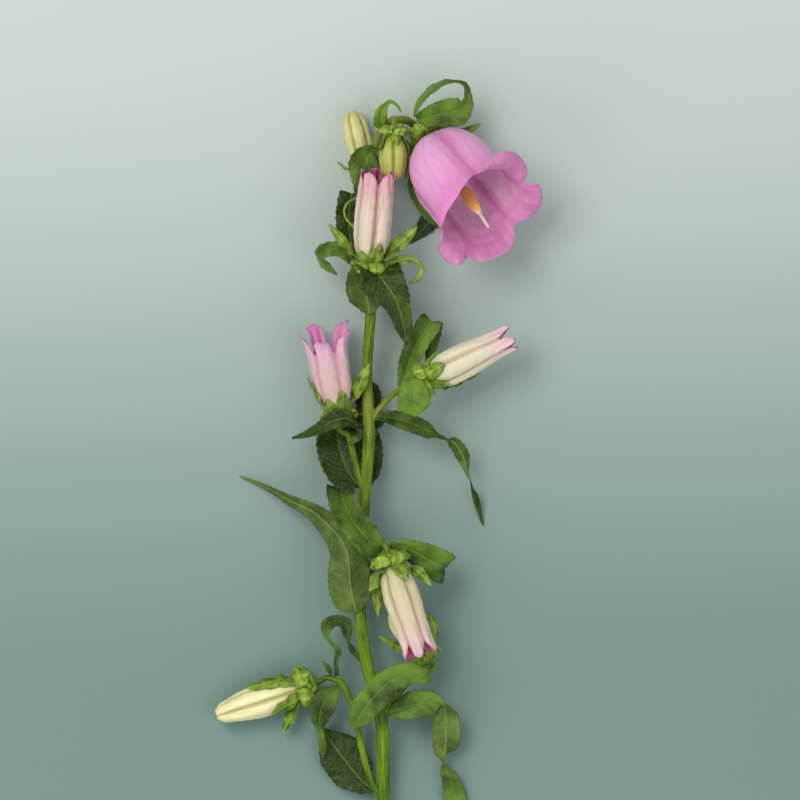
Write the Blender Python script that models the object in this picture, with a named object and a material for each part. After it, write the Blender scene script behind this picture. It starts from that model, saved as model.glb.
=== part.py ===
# A cut spike of bellflower that lies on its side: a leafy stem with one open bell and eight buds.
# Places are in millimetres on the surface it lies on: x to the right, y towards the open bell, z up.

import bpy
import numpy as np

MILLIMETRE = 0.001
SPIKE_CENTRE = (-7.85, -33.4)   # middle of the whole spike on the surface, which becomes the origin
CLEARANCE = 0.35               # air between two pieces that meet

STEM_SIDES = 8
STALK_SIDES = 6
STEM_STEP = 7.0                # length of one stretch of the main stem between two rings
STALK_STEP = 5.0
STALK_LEAD = 1.8               # length over which a stalk runs straight into its ovary
STALK_END_RADIUS = 1.4         # of the main stem where it meets the open bell

LEAF_THICKNESS = 0.7
LEAF_STRETCHES = 10
LEAF_COLUMNS = 4
LEAF_WAVES = 3.5               # waves along one edge of a leaf
WAVE_SHIFT = 2.1               # radians between the waves of a leaf's two edges
TOOTH_DEPTH = 0.35
SEAT_SAMPLES = 240
SEAT_RANGE = 60                # how many of those samples are searched for the leaf's clear start

PETAL_THICKNESS = 0.9
LOBES = 5
LOBE_HALF = 36.0               # half of one lobe's share of the rim, in degrees
RIM_EDGE = 0.4                 # how far the rim stands past the outline at the notches
BEND_SAMPLES = 24
PLEAT_RISE = 5.0               # the pleats of a corolla grow to full depth over this length
FOLD_WIDTH = 0.2               # how wide the fold between two petals is, as a share of half a petal

SEPAL_THICKNESS = 0.65
SEPAL_STEP = 4.0
RIBBON_LEAN = 20.0             # degrees that the left side of a curled sepal stands above the lying plane
SEPAL_ROOT = 1.3               # how deep a sepal starts below the rim of the ovary
SEPAL_ROOT_INSET = 0.7
SEPAL_WAY_STEP = 0.25
SEPAL_RELIEF = 0.35            # extra air where the flat stretches of a sepal cut a bend short
TWIST_START = 0.2              # share of a sepal's length where its twist begins
TWIST_SPAN = 0.4
FRILL_REACH = 1.5              # how far the turned-back lobes of a calyx stand out from the ovary
FRILL_CRINKLE = 0.12
FRILL_COLUMNS = 15

# The rings of an ovary from its stalk up: depth as a share of the ovary's, how much deeper at a lobe
# of its collar, radius as a share of the ovary's, and the collar's reach between and at its lobes.
OVARY_RINGS = [
    (1.0, 0, 0.3, 0, 0), (0.84, 0, 0.68, 0, 0), (0.6, 0, 0.9, 0, 0), (0.37, 0, 0.94, 0, 0),
    (0.42, 0.3, 1.0, 0.2, 0.4), (0.38, 0.3, 1.0, 0.45, 0.55), (0.23, 0, 1.0, 0.5, 0.45),
    (0.03, 0, 1.0, 0.2, 0.2), (0, 0, 0.8, 0, 0),
]

# The style inside the open bell: height along the bell's axis and radius.
STYLE_RINGS = [
    (2.35, 1.2), (10, 0.8), (20, 0.7), (28, 0.8), (30, 1.7), (33, 2.2), (38, 2.0), (42, 1.3),
    (43.5, 0.65), (48, 0.65), (51, 0.5),
]
STYLE_SIDES = 8
STYLE_DROOP = (-1.4, -2.1, -1.0)   # how far the tip of the style hangs off the bell's axis

# Main stem from the cut end to the open bell: x, y, z, radius.
MAIN_STEM = [
    (-6.8, -186, 2.4, 2.6), (-6.3, -165, 4.2, 2.55), (-6.3, -150, 6, 2.5), (-6.3, -135, 8, 2.45),
    (-6.6, -122, 10, 2.45), (-8.3, -112, 11.2, 2.35), (-11.5, -102, 12.2, 2.3), (-13.5, -92, 13, 2.25),
    (-14.9, -80, 13.8, 2.2), (-15.2, -66, 14.5, 2.2), (-14.5, -52, 15, 2.2), (-13.5, -40, 15.4, 2.2),
    (-12.6, -28, 15.8, 2.2), (-11.6, -14, 16.2, 2.15), (-11.9, -2, 16.5, 2.05), (-12.4, 10, 16.7, 1.95),
    (-11.7, 22, 16.8, 1.9), (-11, 32, 16.8, 1.9), (-10.9, 45, 16, 1.8), (-11.2, 60, 15, 1.7),
    (-11.5, 75, 14, 1.6), (-10.8, 88, 13.2, 1.55), (-9, 96, 12.8, 1.5), (-6, 101.8, 12.4, 1.5),
    (-2, 104.2, 12, 1.5), (2, 104.8, 10, 1.45), (4.8, 103.4, 7.2, 1.4),
]

# The shoot at the lower left, which carries leaves and then a bud's own stalk.
LOWER_SHOOT = [
    (-7, -149, 6.2, 1.4), (-9.8, -144.5, 6.8, 1.3), (-12.3, -138, 7.5, 1.2), (-14.2, -130.5, 8.2, 1.15),
    (-15.9, -123, 8.8, 1.1), (-18, -114, 9.4, 1.1), (-20.6, -108, 9.8, 1.1), (-22.8, -104.5, 10.2, 1.2),
]

# Each flower: the stalk's own points, the corolla's base and tip, its radii along the axis, and its
# sepals as angle round the axis, length, half width, flare from the axis, curl in degrees a mm and
# twist. Angle 0 faces up from the surface. The first lobe stands at the angle turn, or the notches
# are listed and the rim has its own keys: angle, reach past the outline and bend in degrees a mm.
FLOWERS = {
    "bell": dict(
        stalk=[],
        base=(10.5, 96.6, 10), axis=(0.467, -0.594, 0.655), ovary=5.0, ovary_radius=4.2,
        profile=[(0, 3.0), (1.5, 5.0), (4, 8.2), (8, 12.0), (14, 15.2), (21, 16.5), (29, 16.5),
                 (35, 16.5), (40, 17.4)],
        lobe=9.8, floor=2.3, rib=0.015, pleat=0.045, bend_power=1, columns=30, rows=(3, 7),
        notches=(80, 130, 200, 260, 340),
        rim=[(0, 3.4, -4), (20, 5.2, -4), (42, 5.4, -3), (62, 4.4, -1), (80, 0.6, 5), (95, 4.4, 24),
             (106, 6.8, 15), (119, 9.7, 3.5), (130, 6.4, 5), (148, 9.6, 0.8), (168, 9.7, 0), (186, 7.9, 2),
             (200, 3.4, 4), (214, 7.2, 11), (228, 8.5, 8.5), (243, 8.8, 8), (253, 7.9, 10), (260, 2.4, 14),
             (273, 5.8, 13), (292, 8.4, 15), (312, 9.8, 12.5), (328, 5.5, 13), (340, 0.4, 5)],
        sepals=[(-100, 18, 2.0, 56, 3, 30), (180, 16, 2.4, 0, 0), (100, 10, 2.8, 4, 0),
                (-45, 8, 3.4, 72, 11), (20, 7, 3.2, 72, 12)],
    ),
    "bud_right": dict(
        stalk=[(-11, -7.5, 16.3, 1.2), (-8.3, -4, 17.2, 1.1), (-4, 0.8, 18.5, 1.05), (0.5, 4, 19.8, 1.0)],
        base=(10.1, 8.1, 21.5), tip=(42.6, 24.1, 24), ovary=5.0, ovary_radius=4.0,
        profile=[(0, 3.4), (4, 5.4), (9, 6.6), (14, 6.7), (22, 6.0), (30, 5.0)],
        lobe=5.5, lobe_point=1.8, bend=2, bend_power=2, turn=14, floor=26.0,
        rib=0.04, pleat=0.12, columns=20, rows=(5, 2),
        sepals=[(-15, 10.5, 3.4, 18, 0), (50, 9, 3.4, 16, 0), (110, 20, 2.4, -4, 0),
                (-130, 17, 1.2, 18, -4), (-75, 10, 2.6, 6, 0)],
    ),
    "bud_left": dict(
        stalk=[(-13.2, -34, 15.2, 1.2), (-14.6, -31, 16, 1.15), (-16.2, -25, 16.6, 1.1),
               (-18, -18, 16.6, 1.05), (-19.8, -12.5, 16.2, 1.05)],
        base=(-23.2, -4.6, 16), tip=(-28.3, 25, 18.5), ovary=5.0, ovary_radius=4.2,
        profile=[(0, 3.5), (5, 5.6), (10, 7.1), (17, 7.5), (22, 7.4)],
        lobe=11.0, bend_power=1.6, floor=17.0, rib=0.03, pleat=0.07, columns=20, rows=(4, 4),
        notches=(24, 96, 168, 240, 312),
        rim=[(6, 4.8, 11), (24, 0.3, 5), (42, 6, 8), (60, 8.4, 10), (78, 6, 8), (96, 0.3, 4), (112, 9.6, 4),
             (132, 12, 5.5), (152, 9.6, 4), (168, 0.5, 4), (184, 9.6, 4), (204, 12, 5), (224, 9.6, 4),
             (240, 0.4, 4), (256, 7.6, 4), (276, 9.2, 5.5), (296, 7.4, 4.5), (312, 0.3, 5), (330, 4.8, 11),
             (348, 7.4, 15)],
        sepals=[(-76, 17, 2.9, 14, 0), (25, 9.5, 2.6, 15, 0), (75, 20, 3.4, 34, 0, -80),
                (160, 12, 2.0, 0, 0), (-30, 7, 2.8, 20, 0)],
    ),
    "bud_upright": dict(
        stalk=[(-10.9, 39.5, 16.2, 1.3), (-11.3, 42.5, 18.4, 1.2)],
        base=(-11.3, 51.4, 24), tip=(-8.6, 81.5, 29.7), ovary=4.5, ovary_radius=4.2,
        profile=[(0, 3.4), (4, 5.6), (10, 6.8), (18, 7.0), (25, 6.8), (29.4, 6.4)],
        lobe=5.0, lobe_point=2.2, bend=2, bend_power=2, turn=44, floor=25.0,
        rib=0.03, pleat=0.2, columns=20, rows=(5, 2),
        sepals=[(-80, 19, 2.4, 43, 0, 70), (25, 10, 3.2, 16, 0), (95, 20, 3.3, 40, 0, -70),
                (-30, 6, 3.0, 25, 0)],
        ribbons=[
            [(-9.2, 48.4, 22.6, 1.1, 80), (-5.0, 50.7, 23.2, 1.6, 78), (0.3, 52.2, 22.6, 2.1, 80),
             (4.2, 52.6, 23, 1.2, 62), (7.3, 50.9, 23, 0.95, 32), (8.3, 48.4, 22.8, 1.0, -5),
             (7.1, 45.8, 22.4, 1.0, -42), (5, 44.2, 22, 0.75, -66), (3.3, 43.7, 21.6, 0.3, -75)],
            [(-13, 49.5, 20.6, 1.0, 190), (-15.6, 54.2, 18.2, 0.9, 195), (-17.2, 64.3, 19.2, 0.6, 215),
             (-20, 67.6, 20, 0.5, 205), (-20.9, 70.6, 20.3, 0.5, 175), (-19.6, 73.6, 20.5, 0.5, 130),
             (-17.2, 75.1, 20.3, 0.45, 110), (-15.2, 75.6, 19.6, 0.3, 105)]],
    ),
    "bud_small_green": dict(
        stalk=[(-5.2, 102.3, 12.3, 1.2), (-3.9, 103.8, 15, 1.05)],
        base=(-2.4, 99.5, 20.5), tip=(-2.6, 82.2, 20.2), ovary=3.0, ovary_radius=3.4,
        profile=[(0, 2.2), (4, 4.2), (9, 5.2), (14.5, 4.2), (16.5, 2.8), (17.3, 1.4)],
        lobe=0, turn=36, rib=0.03, pleat=0.2, columns=15, rows=(5, 0),
        sepals=[(60, 9, 1.6, 25, 0, -50), (-120, 19, 2.1, 2, 0), (180, 12, 2.2, 0, 0),
                (120, 9, 2.2, 5, 0), (-15, 5, 2.2, 8, 0)],
    ),
    "bud_top_left": dict(
        stalk=[(-11.4, 78, 13.8, 1.2), (-11.6, 78.8, 10, 1.0)],
        base=(-12.5, 84.5, 6.5), tip=(-18.2, 108, 6), ovary=3.5, ovary_radius=3.4,
        profile=[(0, 2.8), (6, 4.2), (14, 4.9), (19, 4.6), (22.5, 3.3), (24.2, 1.4)],
        lobe=0, turn=10, rib=0.03, pleat=0.17, columns=15, rows=(5, 0),
        sepals=[(-70, 10.5, 2.1, 45, 0), (80, 9, 2.0, 6, 0), (160, 8, 2.0, 0, 0),
                (-150, 8, 2.0, 0, 0), (5, 7, 2.0, 0, 0)],
    ),
    "bud_drooping": dict(
        stalk=[(-15.2, -76, 14, 1.3), (-12.6, -70, 15.2, 1.15), (-10.6, -63, 16.8, 1.1),
               (-8.8, -58, 18.8, 1.1), (-7.2, -55.2, 21.2, 1.1)],
        base=(-3.2, -61.2, 27), tip=(8.3, -96.5, 27.5), ovary=5.0, ovary_radius=4.4,
        profile=[(0, 3.4), (5, 5.8), (14, 6.8), (24, 6.3), (30, 6.1)],
        lobe=6.0, lobe_point=1.8, bend=2, bend_power=2, turn=5, floor=27.0,
        rib=0.03, pleat=0.13, columns=20, rows=(5, 3),
        sepals=[(-30, 8.5, 3.4, 20, 0), (-75, 15, 2.8, 45, -3, 75), (65, 11, 3.2, 50, 0, -75),
                (105, 19, 2.8, 26, -1, -50), (180, 12, 2.4, 0, 0)],
    ),
    "bud_lower_left": dict(
        stalk=[(-21.8, -106, 10, 1.1), (-24.6, -104.6, 10.4, 1.0), (-28, -104, 10, 0.95)],
        base=(-38, -108, 8.5), tip=(-68.5, -118, 7.5), ovary=7.0, ovary_radius=4.6,
        profile=[(0, 3.4), (3, 5.2), (7, 6.3), (12, 6.5), (20, 5.8), (27, 4.5), (31, 3.1), (32.3, 2.1)],
        lobe=0, turn=30, rib=0.03, pleat=0.2, columns=20, rows=(6, 0),
        sepals=[(50, 19, 3.4, 4, 0), (120, 21, 3.0, -4, 0), (-40, 14, 3.0, 18, 0),
                (-95, 15, 3.0, 42, 0, 60), (-160, 10, 2.2, 0, 0)],
    ),
    "bud_behind": dict(
        stalk=[(-6.9, -119.5, 10.3, 1.5), (-4.3, -114.5, 11, 1.25), (0, -109, 12, 1.2),
               (4, -104, 12.3, 1.15), (7, -100.8, 12, 1.1), (9.4, -101.3, 11.6, 1.05)],
        base=(8.8, -94.7, 11), tip=(-3.4, -79, 9.5), ovary=4.5, ovary_radius=3.6,
        profile=[(0, 2.8), (5, 4.0), (11, 4.6), (16, 3.9), (19, 2.0), (20, 1.0)],
        lobe=0, turn=0, rib=0.03, pleat=0.15, columns=15, rows=(5, 0),
        sepals=[(-80, 17, 2.2, 22, 0, 75), (100, 20, 2.4, 20, -2), (70, 16, 1.8, 62, -8, 60),
                (180, 10, 2.0, 0, 0), (0, 7, 2.2, 5, 0)],
    ),
}

# Each leaf: x, y, z, half width, then the direction of its left side as an angle in the lying
# plane and, where it stands up from that plane, an elevation.
LEAVES = {
    "leaf_top_loop": dict(fold=14, wave=0.5, stations=[
        (6.3, 105.2, 14, 1.2, 105), (10.5, 105.8, 18.5, 3.8, 105), (16, 106.9, 20.4, 5.2, 100),
        (21, 108, 21.4, 5.6, 100, 10), (24.3, 110.2, 20.5, 3.6, 160, 30), (25, 114.2, 22, 2, 175, 50),
        (23.9, 117.5, 23, 1.8, 230, 55), (19.3, 118.7, 23.5, 1.5, 270, 65), (13, 116.3, 23, 2, 300, 40),
        (8.7, 112.4, 22, 1.7, 320, 40), (6.3, 108.8, 20.5, 1.2, 335, 40), (5.3, 105.9, 18.5, 0.35, 345, 40)]),
    "leaf_top_curl": dict(fold=10, wave=0.2, columns=2, stations=[
        (-6.3, 101.6, 15, 1.2, 190), (-7.3, 104, 17, 2.8, 190), (-7.2, 107, 19, 2.5, 180, 10),
        (-5.8, 110, 20.5, 1.5, 150, 30), (-3.6, 111.5, 21, 1, 90, 50), (-1.2, 110.2, 21, 0.8, 50, 40),
        (0.4, 107.6, 20, 0.3, 50, 40)]),
    "leaf_front_flag": dict(fold=8, wave=0.6, stations=[
        (-9.6, 94.5, 15.2, 1.5, 330), (-11.9, 91.5, 16.6, 4.8, 325), (-13.2, 88.5, 17, 5.9, 320),
        (-14.2, 84.8, 16.5, 5.2, 320), (-15.6, 80.5, 16, 2.2, 330), (-16.6, 76.5, 16, 0.4, 340)]),
    "leaf_left_dark": dict(fold=10, wave=0.4, stations=[
        (-14, 49.5, 12, 1.2, 205), (-17, 55, 11.5, 3.4, 200), (-18.9, 62, 11, 4.6, 190),
        (-19.3, 69, 11, 4.9, 180), (-18.3, 76.8, 13.5, 4.4, 175), (-18, 76.9, 10, 3.5, 175),
        (-17.7, 72, 7.5, 2, 175), (-17.5, 68, 6, 0.4, 175)]),
    "leaf_left_flag": dict(fold=10, wave=0.3, columns=2, stations=[
        (-15, 48.8, 16.5, 1, 225), (-18.5, 52.5, 19, 1.8, 225), (-22.5, 56.2, 21, 2.8, 230),
        (-26.5, 56.3, 22.5, 2.9, 260), (-29.6, 54.5, 20.5, 2.4, 300), (-28.3, 51.2, 18, 2.1, 340),
        (-23.6, 46.8, 16.5, 0.3, 20)]),
    "leaf_drape": dict(fold=8, wave=0.5, rows=14, stations=[
        (-11, 32, 19.2, 1.2, 0), (-11.8, 35.5, 21.5, 5.5, 0), (-12.3, 40, 23.5, 8, 0),
        (-11, 44.4, 25.5, 9, 5), (-8.5, 46.5, 27.8, 9.3, 5), (-6, 44, 29.8, 8.3, 15),
        (-2.5, 39, 29, 6.3, 25), (0, 33, 27, 4.3, 20), (1.5, 27, 24.5, 3.3, 10), (2.5, 20.5, 21, 0.3, 5)]),
    "leaf_under_bell": dict(fold=0, wave=0.0, stations=[
        (7.0, 99.8, 5.6, 0.9, 30), (6, 96, 3.2, 1.6, 20), (7.5, 90, 1.5, 2.6, 15), (11, 81, 0.8, 3.6, 0),
        (13, 73.5, 0.6, 4, -20), (11, 67.2, 0.5, 3.8, -40), (7.3, 62.7, 0.5, 2.4, -40),
        (3.6, 58.6, 0.45, 0.3, -40)]),
    "leaf_behind_bell": dict(fold=10, wave=0.2, columns=2, stations=[
        (5.4, 93.8, 5.7, 0.5, 5), (4.3, 89, 5.3, 0.9, 5), (4.2, 80, 5, 1.3, 15), (6.8, 73.5, 5, 1.4, 32),
        (10.8, 68, 5.5, 1.2, 45), (16, 64.3, 6, 0.3, 55)]),
    "leaf_long_right": dict(fold=26, wave=0.3, rows=14, stations=[
        (-9.3, -6.6, 17, 0.9, 75), (-4, -6.5, 19, 2.8, 75), (3, -8.3, 20, 3.8, 75),
        (10, -11, 19.5, 3.3, 70, 10), (16.5, -14, 18, 1.4, 60, 80), (20.5, -16.2, 16, 2.6, 215, 20),
        (23.5, -21, 13, 3, 205), (25, -26, 10, 1.4, 200, 10), (26.3, -29.8, 8, 0.5, 200, 80),
        (28.3, -36, 4, 1.4, 15, 10), (29.8, -42, 1.5, 1, 12), (31.2, -47, 0.45, 0.25, 12)]),
    "leaf_tall_fold": dict(fold=16, wave=0.4, stations=[
        (0.3, 4.6, 18.2, 1.2, 165), (1, 7.5, 15, 2.2, 165), (2.4, 12, 13.6, 3.4, 160),
        (4.6, 17.5, 14.6, 4.2, 155), (7.4, 23, 16.4, 4.7, 155), (10, 27, 17.6, 4.7, 155),
        (11.6, 29.2, 16.6, 4.5, 157), (12.4, 27, 13.6, 3.6, 160), (12.2, 22.5, 12, 2.8, 170),
        (11.2, 18, 11.6, 1.9, 175), (9.8, 14.4, 11.6, 0.4, 175)]),
    "leaf_front_diamond": dict(fold=6, wave=0.3, stations=[
        (1.2, 5.4, 21.4, 0.9, 0), (1.8, 7.2, 24.5, 1.9, 0), (3.4, 7.4, 28, 3.4, 0), (4.8, 4.4, 29.6, 5, 0),
        (5.1, 0.6, 29.4, 6.3, 0), (5.2, -1.8, 28.4, 6.4, 0), (5.6, -4.4, 27, 3.4, 0),
        (5.9, -6.2, 26, 0.3, 0)]),
    "leaf_left_low": dict(fold=16, wave=0.3, columns=2, stations=[
        (-13.6, -10.3, 17.5, 0.8, 285), (-16.5, -9.5, 20.5, 1.6, 285), (-20, -6.9, 23.5, 3.4, 285),
        (-24, -7.4, 24.5, 3.5, 285), (-29, -10, 22.5, 2.5, 285), (-34.5, -12.6, 19, 1.5, 285),
        (-40.3, -14.3, 15.5, 0.4, 285)]),
    "leaf_broad_back": dict(fold=4, wave=0.5, roll=0.25, stations=[
        (-15, -32.3, 14.2, 1.6, 200), (-16.8, -30.5, 13, 6, 215), (-20, -25.5, 11.5, 8.2, 205),
        (-22.3, -19, 9.5, 8.7, 195), (-23.5, -12.5, 8, 7.6, 190), (-23.8, -6, 6.3, 5, 185),
        (-23, -0.5, 5.5, 0.5, 180)]),
    "leaf_back_right": dict(fold=8, wave=0.3, stations=[
        (-12.3, -32.5, 12.3, 1, 170), (-11.2, -27.5, 9, 3.6, 170), (-10.7, -22, 7.5, 4.4, 170),
        (-10.8, -16, 6.5, 4, 175), (-11.5, -11, 6, 2.5, 180), (-12, -8, 6, 0.4, 180)]),
    "leaf_back_dark": dict(fold=6, wave=0.3, stations=[
        (-11.6, -12, 13.3, 1.2, 180), (-11.6, -9.5, 11.3, 5.6, 180), (-11.7, -4, 9.5, 4.8, 180),
        (-11.9, 1.5, 8.5, 5, 180), (-12.2, 5.3, 8, 3.8, 180), (-12.4, 7.6, 8, 0.5, 180)]),
    "leaf_fold_centre": dict(fold=32, wave=0.5, stations=[
        (-7.5, -56.1, 22, 1.4, 220), (-9.8, -54.9, 24, 5.2, 215), (-13.3, -50.4, 25, 6.5, 215),
        (-17.6, -45.3, 25, 6.4, 210), (-20.6, -39.5, 24.5, 6.6, 200), (-21.8, -35, 23.5, 6.4, 190),
        (-21.5, -34.3, 20.5, 5.6, 185), (-20.5, -37, 18.5, 3.8, 185), (-19.5, -41, 18, 0.5, 185)]),
    "leaf_big_left": dict(fold=8, wave=0.6, rows=16, stations=[
        (-15.8, -79.5, 16.6, 1.3, 10), (-17.2, -76, 18.3, 6.8, 10), (-18.5, -70, 19.5, 8.3, 8),
        (-19, -63, 20, 8, 5), (-19.8, -57, 20, 6.6, 15), (-22.5, -51.5, 19.5, 5.6, 35),
        (-27, -46.5, 18, 4.6, 50), (-33, -41.5, 15, 3.1, 55), (-40, -38.2, 11.5, 2.2, 60),
        (-46.5, -34.6, 7.5, 1.3, 60), (-53, -31.4, 3, 0.8, 62), (-60, -28.7, 0.45, 0.25, 65)]),
    "leaf_glossy_right": dict(fold=20, wave=0.4, stations=[
        (-3.8, -54.6, 21, 0.9, 65), (0.2, -54.5, 21.6, 2.6, 70), (5.4, -56.7, 21.4, 4.8, 65),
        (10.8, -59.8, 21.2, 6.4, 62), (15.6, -62.3, 20.4, 6.6, 66), (16.6, -63, 18.2, 5.8, 66),
        (12, -61.5, 16.6, 3.8, 62), (8, -60, 16.2, 0.5, 62)]),
    "leaf_cross_stem": dict(fold=10, wave=0.5, rows=14, stations=[
        (7.6, -101.8, 13.2, 1, 285), (10.6, -102.4, 17, 2.2, 285), (9.4, -102.9, 20.5, 3, 285),
        (4, -102, 22.5, 4.2, 285), (-2, -104, 23.5, 5, 290), (-8, -109, 23, 5.6, 310),
        (-13, -115, 21, 5.2, 315), (-16, -120, 18.5, 3.6, 325), (-17.3, -123.2, 17, 0.8, 335)]),
    "leaf_right_drop": dict(fold=12, wave=0.5, rows=16, stations=[
        (-4.3, -117.6, 12, 1, 100), (0.5, -115.6, 14.5, 4, 100), (6, -113.8, 16, 5.6, 95),
        (12, -113.6, 16, 4.6, 90), (16.5, -114.8, 15, 3.4, 130, 65), (17.2, -119, 13, 5.1, 180, 10),
        (17.3, -124.5, 10.5, 5.6, 180), (17, -130, 8, 4.9, 180), (16.8, -135, 6, 2.6, 180, 80),
        (18.6, -141, 3.5, 3.2, 20, 10), (20.3, -148, 1.5, 4.4, 10), (21.2, -155, 0.8, 3.4, 5),
        (21, -163, 0.45, 0.4, 0)]),
    "leaf_shoot_left": dict(fold=12, wave=0.4, stations=[
        (-23, -107.3, 11.5, 0.9, 325), (-25.8, -110, 13, 3.6, 325), (-29, -114.5, 13.5, 5, 325),
        (-30, -119.5, 12, 3.4, 345), (-29.8, -124, 10, 1.3, 0), (-29, -129, 8, 1.6, 10),
        (-28.8, -134, 6.5, 0.4, 0)]),
    "leaf_bottom_left": dict(fold=6, wave=1.0, stations=[
        (-9.8, -146.3, 5.5, 1.2, 220), (-13.5, -143.5, 4.5, 5, 220), (-18, -138.5, 3.5, 8.3, 220),
        (-22.5, -132.5, 3, 8.4, 220), (-26.3, -127.5, 3, 5, 220), (-29, -123.5, 3, 1, 220)]),
    "leaf_twist_loop": dict(fold=10, wave=0.2, columns=2, rows=16, stations=[
        (-23.6, -103.2, 11, 1, 180), (-23.9, -97.5, 13, 0.9, 185), (-23.3, -93.5, 14.5, 1.3, 200),
        (-25.8, -90.8, 15, 0.7, 225), (-27.5, -87.5, 15.5, 1.3, 195), (-27, -83.9, 16, 2.6, 155),
        (-23.5, -82.4, 16, 2.1, 90), (-20.4, -83.6, 15.5, 2.5, 40), (-19.7, -87.5, 14, 1.8, 5),
        (-19.2, -90.6, 12.5, 0.6, 15), (-17.8, -93.5, 11, 1.2, 40), (-15.5, -96.5, 9.2, 0.8, 35),
        (-14, -98.5, 8.5, 0.3, 35)]),
    "bract_small": dict(fold=8, wave=0.1, columns=2, rows=5, stations=[
        (-25.5, -103.3, 11, 0.5, 205), (-26.7, -100.6, 12, 1.1, 212), (-27.9, -98.7, 13, 0.6, 225),
        (-29.5, -97.5, 13.5, 0.3, 235)]),
    "leaf_small": dict(fold=8, wave=0.1, columns=2, rows=5, stations=[
        (-13.7, -12.6, 18, 0.8, 303), (-16.5, -14.4, 19.8, 1.4, 303), (-19.5, -16.6, 19.8, 0.5, 303)]),
}

COLOURS = {
    "stem": (0.16, 0.27, 0.03), "leaf": (0.04, 0.11, 0.012), "calyx": (0.36, 0.50, 0.10),
    "bell": (0.72, 0.35, 0.62), "bud": (0.84, 0.72, 0.50), "style": (0.74, 0.30, 0.07),
}


def unit(vectors):
    return vectors / np.linalg.norm(vectors, axis=-1, keepdims=True)


# A smooth curve through the values at the keys; limited keeps it from swinging past them.
def follow(keys, values, places, limited=False):
    keys = np.asarray(keys, float)
    values = np.asarray(values, float).reshape(len(keys), -1)
    places = np.asarray(places, float)
    gap = np.diff(keys)[:, None]
    rise = np.diff(values, axis=0) / gap
    slope = np.concatenate([rise[:1], rise])
    slope[1:-1] = (gap[1:] * rise[:-1] + gap[:-1] * rise[1:]) / (gap[:-1] + gap[1:])
    if limited:
        steepest = 2 * np.minimum(abs(rise[:-1]), abs(rise[1:]))
        level = rise[:-1] * rise[1:] <= 0
        slope[1:-1] = np.where(level, 0, np.clip(slope[1:-1], -steepest, steepest))
    index = np.clip(np.searchsorted(keys, places, side="right") - 1, 0, len(gap) - 1)
    span = gap[index]
    part = (places[:, None] - keys[index][:, None]) / span
    step = values[index + 1] - values[index]
    leave = slope[index] * span
    arrive = slope[index + 1] * span
    bend = part**2 * (3 * step - 2 * leave - arrive) + part**3 * (leave + arrive - 2 * step)
    return values[index] + part * leave + bend


def run_length(points):
    return np.concatenate([[0], np.cumsum(np.linalg.norm(np.diff(points, axis=0), axis=1))])


# Places of equal steps along the smooth run through the points, from a share of its length on.
def even_places(points, steps, start=0.0):
    keys = run_length(points)
    fine = np.linspace(0, keys[-1], 30 * len(points))
    length = run_length(follow(keys, points, fine))
    return keys, np.interp(np.linspace(start * length[-1], length[-1], steps + 1), length, fine)


# Closes a stack of rings into one solid: each ring runs counter-clockwise seen from the end.
def ring_solid(rings):
    rings = np.asarray(rings)
    rows, columns = rings.shape[:2]
    points = np.concatenate([rings.reshape(-1, 3), rings[:1].mean(axis=1), rings[-1:].mean(axis=1)])
    first, last = rows * columns, rows * columns + 1
    top = (rows - 1) * columns
    faces = []
    for column in range(columns):
        beside = (column + 1) % columns
        faces.append((first, beside, column))
        faces.append((last, top + column, top + beside))
        for low in range(0, top, columns):
            high = low + columns
            faces.append((low + column, low + beside, high + beside))
            faces.append((low + column, high + beside, high + column))
    return points, faces


# The numbers of the points round the border of a grid, in order.
def border(rows, columns):
    grid = np.arange(rows * columns).reshape(rows, columns)
    return np.concatenate([grid[:-1, 0], grid[-1, :-1], grid[:0:-1, -1], grid[0, :0:-1]])


# Gives a grid of middle points its thickness and closes it, with both faces split alike.
def sheet_solid(middle, thickness):
    rows, columns = middle.shape[:2]
    normal = unit(np.cross(np.gradient(middle, axis=0), np.gradient(middle, axis=1)))
    top = (middle + normal * thickness / 2).reshape(-1, 3)
    bottom = (middle - normal * thickness / 2).reshape(-1, 3)
    under = rows * columns
    faces = []
    for row in range(rows - 1):
        for column in range(columns - 1):
            near = row * columns + column
            far = near + columns
            faces += [(near, far, far + 1), (near, far + 1, near + 1)]
            faces += [(under + near, under + far + 1, under + far)]
            faces += [(under + near, under + near + 1, under + far + 1)]
    edge = border(rows, columns).tolist()
    for here, there in zip(edge, edge[1:] + edge[:1]):
        faces += [(here, under + here, under + there), (here, under + there, there)]
    return np.concatenate([top, bottom]), faces


# A round stalk along points with radii, closed at both ends.
def tube(points, sides, step):
    table = np.array(points, float)
    length = run_length(table[:, :3])[-1]
    keys, places = even_places(table[:, :3], max(3, round(length / step)))
    spine = follow(keys, table[:, :3], places)
    radius = follow(keys, table[:, 3], places, limited=True)
    before, after = (np.clip(places + shift, 0, keys[-1]) for shift in (-0.1, 0.1))
    along = unit(follow(keys, table[:, :3], after) - follow(keys, table[:, :3], before))
    angles = np.arange(sides) * 2 * np.pi / sides
    side = np.array([1.0, 0.0, 0.0])
    rings = []
    for centre, forward, size in zip(spine, along, radius):
        side = unit(side - forward * np.dot(side, forward))
        across = np.cross(forward, side)
        rings.append(centre + size * (np.outer(np.cos(angles), side) + np.outer(np.sin(angles), across)))
    return ring_solid(rings)


# The flower's axis with the directions at angle 0 and at angle 90 round it.
def flower_frame(flower):
    base = np.array(flower["base"], float)
    axis = unit(np.array(flower["axis"], float) if "axis" in flower else np.array(flower["tip"]) - base)
    up = np.array([0.0, 0.0, 1.0])
    front = unit(up - axis * np.dot(up, axis))
    return base, axis, front, np.cross(axis, front)


def around(flower, height, radius, angle):
    base, axis, front, side = flower_frame(flower)
    height, radius, angle = (np.asarray(value, float)[..., None] for value in (height, radius, angle))
    return base + axis * height + radius * (front * np.cos(angle) + side * np.sin(angle))


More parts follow.
